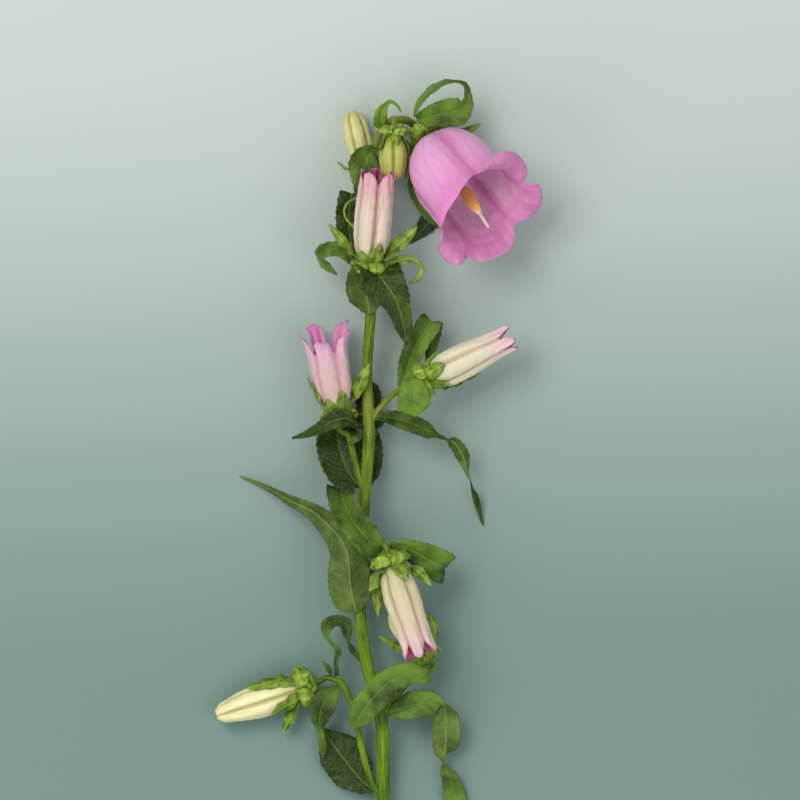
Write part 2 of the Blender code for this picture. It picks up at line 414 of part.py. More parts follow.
# The corolla's outline from its base to the notches: height along the axis and radius.
def outline(flower):
    keys, values = zip(*flower["profile"])
    heights = np.linspace(0, keys[-1], 160)
    return np.stack([heights, follow(keys, values, heights, limited=True)[:, 0]], axis=1)


# The outline read at a length from the base; past the notches a lobe bends out more and more.
def outline_at(flower, lengths, bend):
    line = outline(flower)
    length = run_length(line)
    inside = np.minimum(lengths, length[-1])
    height = np.interp(inside, length, line[:, 0])
    radius = np.interp(inside, length, line[:, 1])
    heading = np.arctan2(line[-1, 1] - line[-4, 1], line[-1, 0] - line[-4, 0])
    past = np.maximum(lengths - length[-1], 0)
    steps = past[..., None] * (np.arange(BEND_SAMPLES) + 0.5) / BEND_SAMPLES
    growth = (steps / flower["lobe"]) ** (flower["bend_power"] - 1)
    turned = heading + np.radians(bend)[:, None] * steps * growth
    return height + past * np.cos(turned).mean(axis=-1), radius + past * np.sin(turned).mean(axis=-1)


# Columns spread from notch to notch: their angles, and -1 to 1 across each petal.
def lobe_places(flower):
    even = [flower.get("turn", 0) + LOBE_HALF * (2 * number - 1) for number in range(LOBES)]
    notches = list(flower.get("notches", even))
    along = np.arange(flower["columns"]) * LOBES / flower["columns"]
    angles = np.interp(along, np.arange(LOBES + 1), notches + [notches[0] + 360])
    return np.radians(angles), 2 * (along % 1) - 1


# Petals swell between their folds and are drawn in sharply along each fold.
def pleats(flower, share, lengths):
    folded = flower["pleat"] * np.exp(-(((1 - abs(share)) / FOLD_WIDTH) ** 2))
    swell = flower["rib"] * np.cos(np.pi * share)
    return 1 + (swell - folded) * np.clip(lengths / PLEAT_RISE, 0, 1)


# How far each column reaches past the notches, and how its lobe bends in degrees a millimetre.
def rim_of(flower, angles, share):
    if "rim" not in flower:
        return flower["lobe"] * (1 - abs(share) ** flower["lobe_point"]), np.full(len(angles), flower["bend"])
    keys = np.array(flower["rim"], float)
    wrapped = np.concatenate([keys[-2:] - (360, 0, 0), keys, keys[:2] + (360, 0, 0)])
    return follow(wrapped[:, 0], wrapped[:, 1:], np.degrees(angles) % 360, limited=True).T


# A closed bud: its outline drawn in to a tip and pleated along its five folds.
def closed_corolla(flower):
    angles, share = lobe_places(flower)
    low_rows, high_rows = flower["rows"]
    line = outline(flower)
    length = run_length(line)
    lengths = np.linspace(0, length[-1], low_rows + high_rows + 1)[:, None]
    height = np.interp(lengths, length, line[:, 0]) * np.ones(len(angles))
    radius = np.interp(lengths, length, line[:, 1])
    return ring_solid(around(flower, height, radius * pleats(flower, share, lengths), angles))


# An opening or open corolla: a thin wall from its floor to a rim of five lobes that bend outwards.
def open_corolla(flower):
    angles, share = lobe_places(flower)
    reach, bend = rim_of(flower, angles, share)
    low_rows, high_rows = flower["rows"]
    rim = run_length(outline(flower))[-1] + RIM_EDGE + reach
    low = np.linspace(0, flower["floor"], low_rows + 1)[:-1, None] * np.ones(len(angles))
    part = np.linspace(0, 1, high_rows + 1)[:, None]
    lengths = np.concatenate([low, flower["floor"] + part * (rim - flower["floor"])])
    height, radius = outline_at(flower, lengths, bend)
    outer = around(flower, height, radius * pleats(flower, share, lengths), angles)
    across = np.roll(outer, -1, axis=1) - np.roll(outer, 1, axis=1)
    inner = outer - unit(np.cross(across, np.gradient(outer, axis=0))) * PETAL_THICKNESS
    return ring_solid(np.concatenate([outer, inner[:low_rows - 1:-1]]))


# A sepal's way out from the ovary: it keeps off the corolla, then leaves it by its flare and curl.
def sepal_way(flower, length, flare, curl):
    line = outline(flower)
    line[:, 1] *= 1 + flower["rib"]
    slope = unit(np.gradient(line, axis=0))
    outward = np.stack([-slope[:, 1], slope[:, 0]], axis=1)
    keep_off = CLEARANCE + SEPAL_RELIEF + SEPAL_THICKNESS / 2
    place = np.array([-SEPAL_ROOT, flower["ovary_radius"] - SEPAL_ROOT_INSET])
    way = [place]
    gone = 0.0
    while gone < length + SEPAL_ROOT:
        turn = np.radians(flare * min(1, gone / 3) + curl * max(0, gone - 0.35 * length))
        fresh = place + SEPAL_WAY_STEP * np.array([np.cos(turn), np.sin(turn)])
        if fresh[0] > -0.5:
            nearest = np.argmin(np.linalg.norm(line - fresh, axis=1))
            height = np.dot(fresh - line[nearest], outward[nearest])
            if height < keep_off and nearest < len(line) - 1:
                fresh = fresh + outward[nearest] * (keep_off - height)
        gone += max(np.linalg.norm(fresh - place), 0.2 * SEPAL_WAY_STEP)
        place = fresh
        way.append(place)
    return np.array(way)


# A sepal's blade along its way, bent round the axis with its width; some turn about their own length.
def sepal(flower, angle, length, half_width, flare, curl, twist=0):
    way = sepal_way(flower, length, flare, curl)
    stretches = int(np.clip(round(length / SEPAL_STEP), 3, 4))
    keys, places = even_places(way, stretches)
    middle = follow(keys, way, places)
    share = np.linspace(0, 1, stretches + 1)
    half = half_width * follow([0, 0.3, 0.6, 0.85, 1], [0.64, 1, 0.85, 0.5, 0.16], share)
    bend = np.array([-1.0, 0.0, 1.0]) * half / np.maximum(middle[:, 1:], 1.5)
    beside = middle[:, 1:] * np.sin(bend)
    inward = middle[:, 1:] * (1 - np.cos(bend))
    turned = np.radians(twist) * np.clip((share - TWIST_START) / TWIST_SPAN, 0, 1)[:, None]
    forward = unit(np.gradient(middle, axis=0))
    out = beside * np.sin(turned) - inward * np.cos(turned)
    beside = beside * np.cos(turned) + inward * np.sin(turned)
    height = middle[:, :1] - forward[:, 1:] * out
    radius = middle[:, 1:] + forward[:, :1] * out
    base, axis, front, side = flower_frame(flower)
    radial = front * np.cos(np.radians(angle)) + side * np.sin(np.radians(angle))
    tangent = np.cross(axis, radial)
    places = base + height[..., None] * axis + radius[..., None] * radial + beside[..., None] * tangent
    return sheet_solid(places, SEPAL_THICKNESS)


# The ovary under a collar of five lobes that are turned back over it, between the sepals.
def ovary(flower):
    angles = np.arange(FRILL_COLUMNS) * 2 * np.pi / FRILL_COLUMNS
    lobe = 0.5 - 0.5 * np.cos(LOBES * angles)
    crinkle = FRILL_CRINKLE * (np.arange(FRILL_COLUMNS) % 2)
    depth, deeper, share, reach, lobe_reach = np.array(OVARY_RINGS).T[:, :, None]
    height = -CLEARANCE - (flower["ovary"] - CLEARANCE) * (depth + deeper * lobe)
    collar = FRILL_REACH * (reach + lobe_reach * lobe + crinkle * (reach > 0))
    return ring_solid(around(flower, height, flower["ovary_radius"] * share + collar, angles))


# A thin sepal that curls by stations of its own: x, y, z, half width, direction of its left side.
def ribbon(stations):
    table = np.array(stations, float)
    middle = table[:, :3]
    side = side_vector(table[:, 4], np.full(len(table), RIBBON_LEAN))
    along = unit(np.gradient(middle, axis=0))
    side = unit(side - along * np.sum(side * along, axis=1, keepdims=True))
    across = np.array([1.0, 0.0, -1.0]) * table[:, 3:4]
    return sheet_solid(middle[:, None] + side[:, None] * across[..., None], SEPAL_THICKNESS)


def calyx(flower):
    sepals = [sepal(flower, *sizes) for sizes in flower["sepals"]]
    ribbons = [ribbon(stations) for stations in flower.get("ribbons", [])]
    return [ovary(flower)] + sepals + ribbons


def bell_style(flower):
    heights, radii = np.array(STYLE_RINGS).T[:, :, None]
    angles = np.arange(STYLE_SIDES) * 2 * np.pi / STYLE_SIDES
    rings = around(flower, heights * np.ones(STYLE_SIDES), radii * np.ones(STYLE_SIDES), angles)
    return ring_solid(rings + (heights[:, :, None] / heights.max()) ** 2 * np.array(STYLE_DROOP))


def side_vector(azimuth, elevation):
    azimuth, elevation = np.radians(azimuth), np.radians(elevation)
    flat = np.cos(elevation)
    return np.stack([np.cos(azimuth) * flat, np.sin(azimuth) * flat, np.sin(elevation)], axis=-1)


# The leaf's middle surface from a share of its length on, with its fold, roll, waves and teeth.
def leaf_surface(leaf, stretches, columns, start=0.0):
    table = np.array([station + (0,) * (6 - len(station)) for station in leaf["stations"]], float)
    keys, places = even_places(table[:, :3], stretches, start)
    spine = follow(keys, table[:, :3], places)
    half = follow(keys, table[:, 3], places, limited=True)
    side = follow(keys, side_vector(table[:, 4], table[:, 5]), places)
    along = unit(np.gradient(spine, axis=0))
    side = unit(side - along * np.sum(side * along, axis=1, keepdims=True))
    normal = np.cross(along, side)
    across = np.linspace(-1, 1, columns + 1)[None, :]
    share = np.linspace(start, 1, stretches + 1)[:, None]
    fold = np.radians(leaf["fold"])
    fade = np.sin(np.pi * np.clip(share, 0, 1)) * half / half.max()
    swing = np.sin(2 * np.pi * LEAF_WAVES * share + np.where(across < 0, 0, WAVE_SHIFT))
    rolled = leaf.get("roll", 0) * half * np.clip(across, 0, 1) ** 2
    lift = np.sin(fold) * abs(across) * half + leaf["wave"] * swing * across**2 * fade + rolled
    toothed = (np.arange(stretches + 1) % 2)[:, None] * (abs(across) == 1)
    teeth = TOOTH_DEPTH * toothed * np.minimum(half / 3, 1)
    reach = np.cos(fold) * across * half + np.sign(across) * teeth
    middle = spine[:, None] + side[:, None] * reach[..., None] + normal[:, None] * lift[..., None]
    middle[..., 2] = np.maximum(middle[..., 2], LEAF_THICKNESS / 2)
    return middle


# The share of a leaf's length at which its blade comes clear of the stalks that carry it.
def seat(leaf, stalks):
    near = leaf_surface(leaf, SEAT_SAMPLES, 2)[:SEAT_RANGE].reshape(-1, 1, 3)
    room = np.full(SEAT_RANGE, np.inf)
    for stalk in stalks:
        table = np.array(stalk, float)
        keys = run_length(table[:, :3])
        fine = np.linspace(0, keys[-1], int(keys[-1] * 3))
        line = follow(keys, table[:, :3], fine)
        radius = follow(keys, table[:, 3], fine, limited=True)[:, 0]
        reach = np.linalg.norm(near - line, axis=2) - radius
        room = np.minimum(room, reach.min(axis=1).reshape(SEAT_RANGE, -1).min(axis=1))
    return np.argmax(room > CLEARANCE + LEAF_THICKNESS / 2) / SEAT_SAMPLES


def material(name, colour):
    made = bpy.data.materials.new(name)
    made.use_nodes = True
    shader = made.node_tree.nodes["Principled BSDF"]
    shader.inputs["Base Color"].default_value = (*colour, 1)
    shader.inputs["Roughness"].default_value = 0.55
    return made


# Places a solid given in millimetres as an object in metres, nowhere lower than the surface.
def add_solid(name, solid, finish):
    points, faces = solid
    points = np.array(points, float)
    points[:, 2] = np.maximum(points[:, 2], 0)
    points[:, :2] -= SPIKE_CENTRE
    mesh = bpy.data.meshes.new(name)
    mesh.from_pydata((points * MILLIMETRE).tolist(), [], faces)
    mesh.materials.append(finish)
    made = bpy.data.objects.new(name, mesh)
    bpy.context.scene.collection.objects.link(made)
    return made


# Fuses closed solids that run into each other into one object.
def add_fused(name, solids, finish):
    body = add_solid(name, solids[0], finish)
    joined = bpy.data.collections.new(name + "_repeats")
    for number, solid in enumerate(solids[1:]):
        piece = add_solid(f"{name}_{number}", solid, finish)
        bpy.context.scene.collection.objects.unlink(piece)
        joined.objects.link(piece)
    bpy.context.scene.collection.children.link(joined)
    fuse = body.modifiers.new("fuse", "BOOLEAN")
    fuse.operation = "UNION"
    fuse.operand_type = "COLLECTION"
    fuse.collection = joined
    fuse.solver = "MANIFOLD"
    bpy.context.view_layer.update()
    whole = bpy.data.meshes.new_from_object(body.evaluated_get(bpy.context.evaluated_depsgraph_get()))
    body.modifiers.remove(fuse)
    body.data = whole
    for piece in list(joined.objects):
        bpy.data.objects.remove(piece, do_unlink=True)
    bpy.data.collections.remove(joined)


# The end of a stalk just below the ovary, in line with the flower's axis.
def stalk_end(flower, size):
    base, axis, front, side = flower_frame(flower)
    end = base - axis * (flower["ovary"] + CLEARANCE)
    return [(*(end - axis * STALK_LEAD), size), (*end, size)]


def build_stem(stalks):
    solids = [tube(stalks[0], STEM_SIDES, STEM_STEP)]
    solids += [tube(stalk, STALK_SIDES, STALK_STEP) for stalk in stalks[1:]]
    add_fused("stem", solids, material("stem", COLOURS["stem"]))


def build_flowers():
    for name, flower in FLOWERS.items():
        petals = open_corolla(flower) if flower["lobe"] else closed_corolla(flower)
        petal_colour = COLOURS["bell"] if name == "bell" else COLOURS["bud"]
        add_solid(name + "_corolla", petals, material(name + "_petal", petal_colour))
        add_fused(name + "_calyx", calyx(flower), material(name + "_sepal", COLOURS["calyx"]))
    add_solid("bell_style", bell_style(FLOWERS["bell"]), material("bell_style", COLOURS["style"]))


def build_leaves(stalks):
    for name, leaf in LEAVES.items():
        stretches = leaf.get("rows", LEAF_STRETCHES)
        surface = leaf_surface(leaf, stretches, leaf.get("columns", LEAF_COLUMNS), seat(leaf, stalks))
        add_solid(name, sheet_solid(surface, LEAF_THICKNESS), material(name, COLOURS["leaf"]))


for old in list(bpy.data.objects):
    bpy.data.objects.remove(old, do_unlink=True)

stalks = [MAIN_STEM + stalk_end(FLOWERS["bell"], STALK_END_RADIUS), LOWER_SHOOT]
stalks += [bud["stalk"] + stalk_end(bud, bud["stalk"][-1][3]) for bud in FLOWERS.values() if bud["stalk"]]
build_stem(stalks)
build_flowers()
build_leaves(stalks)
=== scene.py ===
from functools import partial

import bpy
import numpy as np
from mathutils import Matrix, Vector


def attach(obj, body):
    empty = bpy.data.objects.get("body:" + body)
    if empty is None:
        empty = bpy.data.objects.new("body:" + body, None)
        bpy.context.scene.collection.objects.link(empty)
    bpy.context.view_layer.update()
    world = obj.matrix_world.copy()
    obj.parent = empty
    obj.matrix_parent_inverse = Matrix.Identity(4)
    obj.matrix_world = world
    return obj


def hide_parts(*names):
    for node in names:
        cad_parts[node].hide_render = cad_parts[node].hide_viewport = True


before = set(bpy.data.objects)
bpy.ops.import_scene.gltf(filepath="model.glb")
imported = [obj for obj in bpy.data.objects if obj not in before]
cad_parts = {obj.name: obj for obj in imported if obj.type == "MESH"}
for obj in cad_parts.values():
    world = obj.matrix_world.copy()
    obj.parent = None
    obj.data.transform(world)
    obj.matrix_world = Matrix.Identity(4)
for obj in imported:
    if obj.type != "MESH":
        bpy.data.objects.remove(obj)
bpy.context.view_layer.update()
print("stage: packed model loaded,", len(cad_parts), "nodes")

# Places below are in millimetres on the surface that the spike lies on: x right, y towards the open
# bell, z up. The middle of the spike is the origin of the finished pieces.
spikeCentre = (-7.85, -33.4)
millimetre = 0.001
perSquareMetre = 1e6  # for what is given for each square millimetre
lobes = 5
lobeHalf = 180 / lobes


def unit(vectors):
    return vectors / np.maximum(np.linalg.norm(vectors, axis=-1, keepdims=True), 1e-12)


def follow(keys, values, places, limited=False):  # smooth curve through the values at the keys
    keys = np.asarray(keys, float)
    values = np.asarray(values, float).reshape(len(keys), -1)
    places = np.asarray(places, float)
    gap = np.diff(keys)[:, None]
    rise = np.diff(values, axis=0) / gap
    slope = np.concatenate([rise[:1], rise])
    slope[1:-1] = (gap[1:] * rise[:-1] + gap[:-1] * rise[1:]) / (gap[:-1] + gap[1:])
    if limited:
        steepest = 2 * np.minimum(abs(rise[:-1]), abs(rise[1:]))
        level = rise[:-1] * rise[1:] <= 0
        slope[1:-1] = np.where(level, 0, np.clip(slope[1:-1], -steepest, steepest))
    index = np.clip(np.searchsorted(keys, places, side="right") - 1, 0, len(gap) - 1)
    span = gap[index]
    part = (places[:, None] - keys[index][:, None]) / span
    step = values[index + 1] - values[index]
    leave = slope[index] * span
    arrive = slope[index + 1] * span
    bend = part**2 * (3 * step - 2 * leave - arrive) + part**3 * (leave + arrive - 2 * step)
    return values[index] + part * leave + bend


def runLength(points):
    return np.concatenate([[0], np.cumsum(np.linalg.norm(np.diff(points, axis=0), axis=1))])


def evenPlaces(points, steps):
    keys = runLength(points)
    fine = np.linspace(0, keys[-1], 40 * len(points))
    length = runLength(follow(keys, points, fine))
    return keys, np.interp(np.linspace(0, length[-1], steps + 1), length, fine)


def smoothNoise(places, size, seed):  # gentle bumps of about that size, -1 to 1, from a few summed waves
    random = np.random.default_rng(seed)
    total = np.zeros(places.shape[:-1])
    for wave in range(7):
        way = unit(random.normal(size=3))
        steps = places @ way * 2 * np.pi / (size * random.uniform(0.7, 1.6))
        total += np.sin(steps + random.uniform(0, 6.28))
    return total / 4


def shown(name, data):  # puts a mesh, lamp or camera into the scene
    thing = bpy.data.objects.new(name, data)
    bpy.context.scene.collection.objects.link(thing)
    return thing


class Shape:  # points, faces, material numbers and named point values of one piece, gathered bit by bit
    def __init__(self):
        self.points, self.faces, self.finish, self.values = [], [], [], {}
        self.count = 0

    def add(self, points, faces, finish, values):
        self.faces.append(np.where(faces < 0, -1, faces + self.count))  # -1 is no corner
        self.finish.append(np.broadcast_to(finish, len(faces)))
        self.points.append(points)
        for name, value in values.items():
            self.values.setdefault(name, []).append(np.broadcast_to(value, len(points)))
        self.count += len(points)

    def finished(self, name, materials):
        points = np.concatenate(self.points)
        points[:, :2] -= spikeCentre
        points[:, 2] = np.maximum(points[:, 2], 0)  # nothing reaches below the surface
        faces = [[corner for corner in face if corner >= 0]
                 for group in self.faces for face in group.tolist()]
        mesh = bpy.data.meshes.new(name)
        mesh.from_pydata((points * millimetre).tolist(), [], faces)
        for label, parts in self.values.items():
            stored = mesh.attributes.new(label, "FLOAT", "POINT")
            stored.data.foreach_set("value", np.concatenate(parts).astype(np.float32))
        for material in materials:
            mesh.materials.append(material)
        mesh.polygons.foreach_set("material_index", np.concatenate(self.finish).astype(np.int32))
        mesh.polygons.foreach_set("use_smooth", np.ones(len(mesh.polygons), bool))
        mesh.update()
        return shown(name, mesh)


def addSheet(shape, top, bottom, values, finish):  # closes two grids; finish of the top, and of the rest
    rows, columns = top.shape[:2]
    under = rows * columns
    grid = np.arange(under).reshape(rows, columns)
    near, right = grid[:-1, :-1].ravel(), grid[:-1, 1:].ravel()
    far, across = grid[1:, :-1].ravel(), grid[1:, 1:].ravel()
    upper = np.stack([near, far, across, right], axis=1)
    lower = np.stack([near, right, across, far], axis=1) + under
    edge = np.concatenate([grid[:-1, 0], grid[-1, :-1], grid[:0:-1, -1], grid[0, :0:-1]])
    ahead = np.roll(edge, -1)
    rim = np.stack([edge, edge + under, ahead + under, ahead], axis=1)
    both = {name: np.concatenate([np.broadcast_to(value, (rows, columns)).ravel()] * 2)
            for name, value in values.items()}
    points = np.concatenate([top.reshape(-1, 3), bottom.reshape(-1, 3)])
    finish = np.repeat(finish, [len(upper), len(lower) + len(rim)])
    shape.add(points, np.concatenate([upper, lower, rim]), finish, both)


def addRings(shape, rings, values, finish):  # closes a stack of rings, one finish for each band of faces
    rows, columns = rings.shape[:2]
    grid = np.arange(rows * columns).reshape(rows, columns)
    beside = np.roll(grid, -1, axis=1)
    sides = np.stack([grid[:-1], beside[:-1], beside[1:], grid[1:]], axis=-1).reshape(-1, 4)
    first, last, none = (np.full(columns, number) for number in (rows * columns, rows * columns + 1, -1))
    start = np.stack([first, beside[0], grid[0], none], axis=1)
    end = np.stack([last, grid[-1], beside[-1], none], axis=1)
    bands = np.broadcast_to(finish, rows - 1)
    held = {}
    for name, value in values.items():
        full = np.broadcast_to(value, (rows, columns))
        held[name] = np.concatenate([full.ravel(), [full[0].mean(), full[-1].mean()]])
    points = np.concatenate([rings.reshape(-1, 3), rings[:1].mean(axis=1), rings[-1:].mean(axis=1)])
    finish = np.repeat([*bands, bands[0], bands[-1]], columns)
    shape.add(points, np.concatenate([sides, start, end]), finish, held)


def ringNormals(rings):
    across = np.roll(rings, -1, axis=1) - np.roll(rings, 1, axis=1)
    return unit(np.cross(across, np.gradient(rings, axis=0)))


def sheetNormals(points):
    return unit(np.cross(np.gradient(points, axis=0), np.gradient(points, axis=1)))


def toLinear(code):  # sRGB hex to linear, with full alpha
    parts = (int(code[at:at + 2], 16) / 255 for at in (1, 3, 5))
    linear = (part / 12.92 if part <= 0.04045 else ((part + 0.055) / 1.055) ** 2.4 for part in parts)
    return *linear, 1.0


# Adds a node with its settings and links, and gives one of its outputs. Shader nodes go by a short name.
def addNode(tree, kind, inputs=(), output=0, **settings):
    node = tree.nodes.new(kind if "Node" in kind else "ShaderNode" + kind)
    for name, setting in settings.items():
        setattr(node, name, setting)
    for name, given in inputs.items() if isinstance(inputs, dict) else enumerate(inputs):
        if isinstance(given, bpy.types.NodeSocket):
            tree.links.new(given, node.inputs[name])
        else:
            node.inputs[name].default_value = toLinear(given) if str(given)[:1] == "#" else given
    return node.outputs[output] if node.outputs else None


# Starts a material: glow is the share of the light that goes in, up to lightDepth in mm. Gives the place
# on the piece and the named point values as patterns.
def startMaterial(name, look, fields=()):
    material = bpy.data.materials.new(name)
    material.use_nodes = True
    shader = material.node_tree.nodes["Principled BSDF"].inputs
    shader["Specular IOR Level"].default_value = look["specular"]
    shader["Subsurface Weight"].default_value = look["glow"]
    shader["Subsurface Scale"].default_value = look["lightDepth"] * millimetre
    add = partial(addNode, material.node_tree)
    read = [add("Attribute", output="Fac", attribute_name=field) for field in fields]
    return material, add, add("TexCoord", output="Object"), *read


# Lays the tints over the first colour, each by its amount, then adds relief, in mm, and roughness. Patches
# are a pattern and its range, over which the roughness goes from one value to the other.
def finishMaterial(material, look, colour, layers, height=None, patches=()):
    tree = material.node_tree
    shader = tree.nodes["Principled BSDF"].inputs
    for amount, tint in layers:
        colour = addNode(tree, "Mix", {0: amount, 6: colour, 7: tint}, 2, data_type="RGBA")
    tree.links.new(colour, shader["Base Color"])
    if height is not None:
        bump = addNode(tree, "Bump", {"Height": height, "Distance": look["relief"] * millimetre})
        tree.links.new(bump, shader["Normal"])
    if patches:
        tree.links.new(addNode(tree, "MapRange", (*patches, *look["roughness"])), shader["Roughness"])
    else:
        shader["Roughness"].default_value = look["roughness"]
    return material


def fasten(piece, slot, *nodes):  # tells which solids the piece replaces, and its body
    if nodes:
        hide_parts(*nodes)
    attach(piece, "root")


# Living leaf: a waxy skin over green tissue. The upper side is deep green with a soft shine and sunken
# veins, the underside paler and duller with raised veins.
leafLook = {
    "upper": dict(dark="#122406", light="#66882F", vein="#7E9E3E", raised=-1.2, roughness=(0.26, 0.46)),
    "under": dict(dark="#31470F", light="#6A8440", vein="#8FA656", raised=1.2, roughness=(0.45, 0.65)),
    "edgeTint": "#4A541A", "youngTint": "#86A932",
    "veinSpacing": 4.2,      # mm between side veins along the midrib
    "veinLean": 0.85,        # how far a side vein runs forward for each mm outwards
    "netSize": 1.1,          # mm across one cell of the fine net of veins
    "sideVeins": 0.25, "midVein": 0.38, "netVeins": 0.1, "flecks": 0.16, "worn": 0.5, "young": 0.85,
    "specular": 0.2, "glow": 0.1, "lightDepth": 0.5, "relief": 0.14,
}


def leafMaterial(side):
    look = {**leafLook, **leafLook[side]}
    vein = look["vein"]
    material, add, spot, rib, phase, edge, toneAndShade = startMaterial(
        "living_leaf_" + side, look, ("ribMm", "veinPhase", "edge", "toneAndShade"))
    wobble, blotch, speck = (
        add("TexNoise", {"Vector": spot, "Scale": scale, "Detail": detail, "Distortion": twist})
        for scale, detail, twist in ((200, 2, 0), (110, 4, 0.4), (1250, 2, 0)))
    swayed = add("Math", (wobble, 0.5, phase), operation="MULTIPLY_ADD")
    fromVein = add("Math", (swayed, 0.5), operation="PINGPONG")
    net = add("TexVoronoi", {"Vector": spot, "Scale": 1000 / look["netSize"]}, "Distance",
              feature="DISTANCE_TO_EDGE")
    # the tone, with painted shade in it, and the blotches set how light the green is
    shaded = add("Math", (toneAndShade, 0.22, blotch), operation="MULTIPLY_ADD")
    lightness = add("MapRange", (shaded, 0.25, 0.8), interpolation_type="SMOOTHSTEP")
    # each of these: a pattern, its range, and its amount at the start and end of that range
    sideVein, midVein, netVein, flecked, worn, young = (add("MapRange", sizes) for sizes in (
        (fromVein, 0, 0.07, look["sideVeins"], 0), (rib, 0.12, 0.45, look["midVein"], 0),
        (net, 0, 0.14, look["netVeins"], 0), (speck, 0.3, 0.9, 0, look["flecks"]),
        (edge, 0.92, 1, 0, look["worn"]), (toneAndShade, 0.9, 2, 0, look["young"])))
    layers = ((lightness, look["light"]), (flecked, vein), (sideVein, vein), (netVein, vein),
              (midVein, vein), (worn, look["edgeTint"]), (young, look["youngTint"]))
    veins = add("Math", (sideVein, 2.2, midVein), operation="MULTIPLY_ADD")
    relief = add("Math", (netVein, 3.0, veins), operation="MULTIPLY_ADD")
    height = add("Math", (relief, look["raised"], speck), operation="MULTIPLY_ADD")
    return finishMaterial(material, look, look["dark"], layers, height, (blotch, 0.3, 0.7))


leafSkins = leafMaterial("upper"), leafMaterial("under")
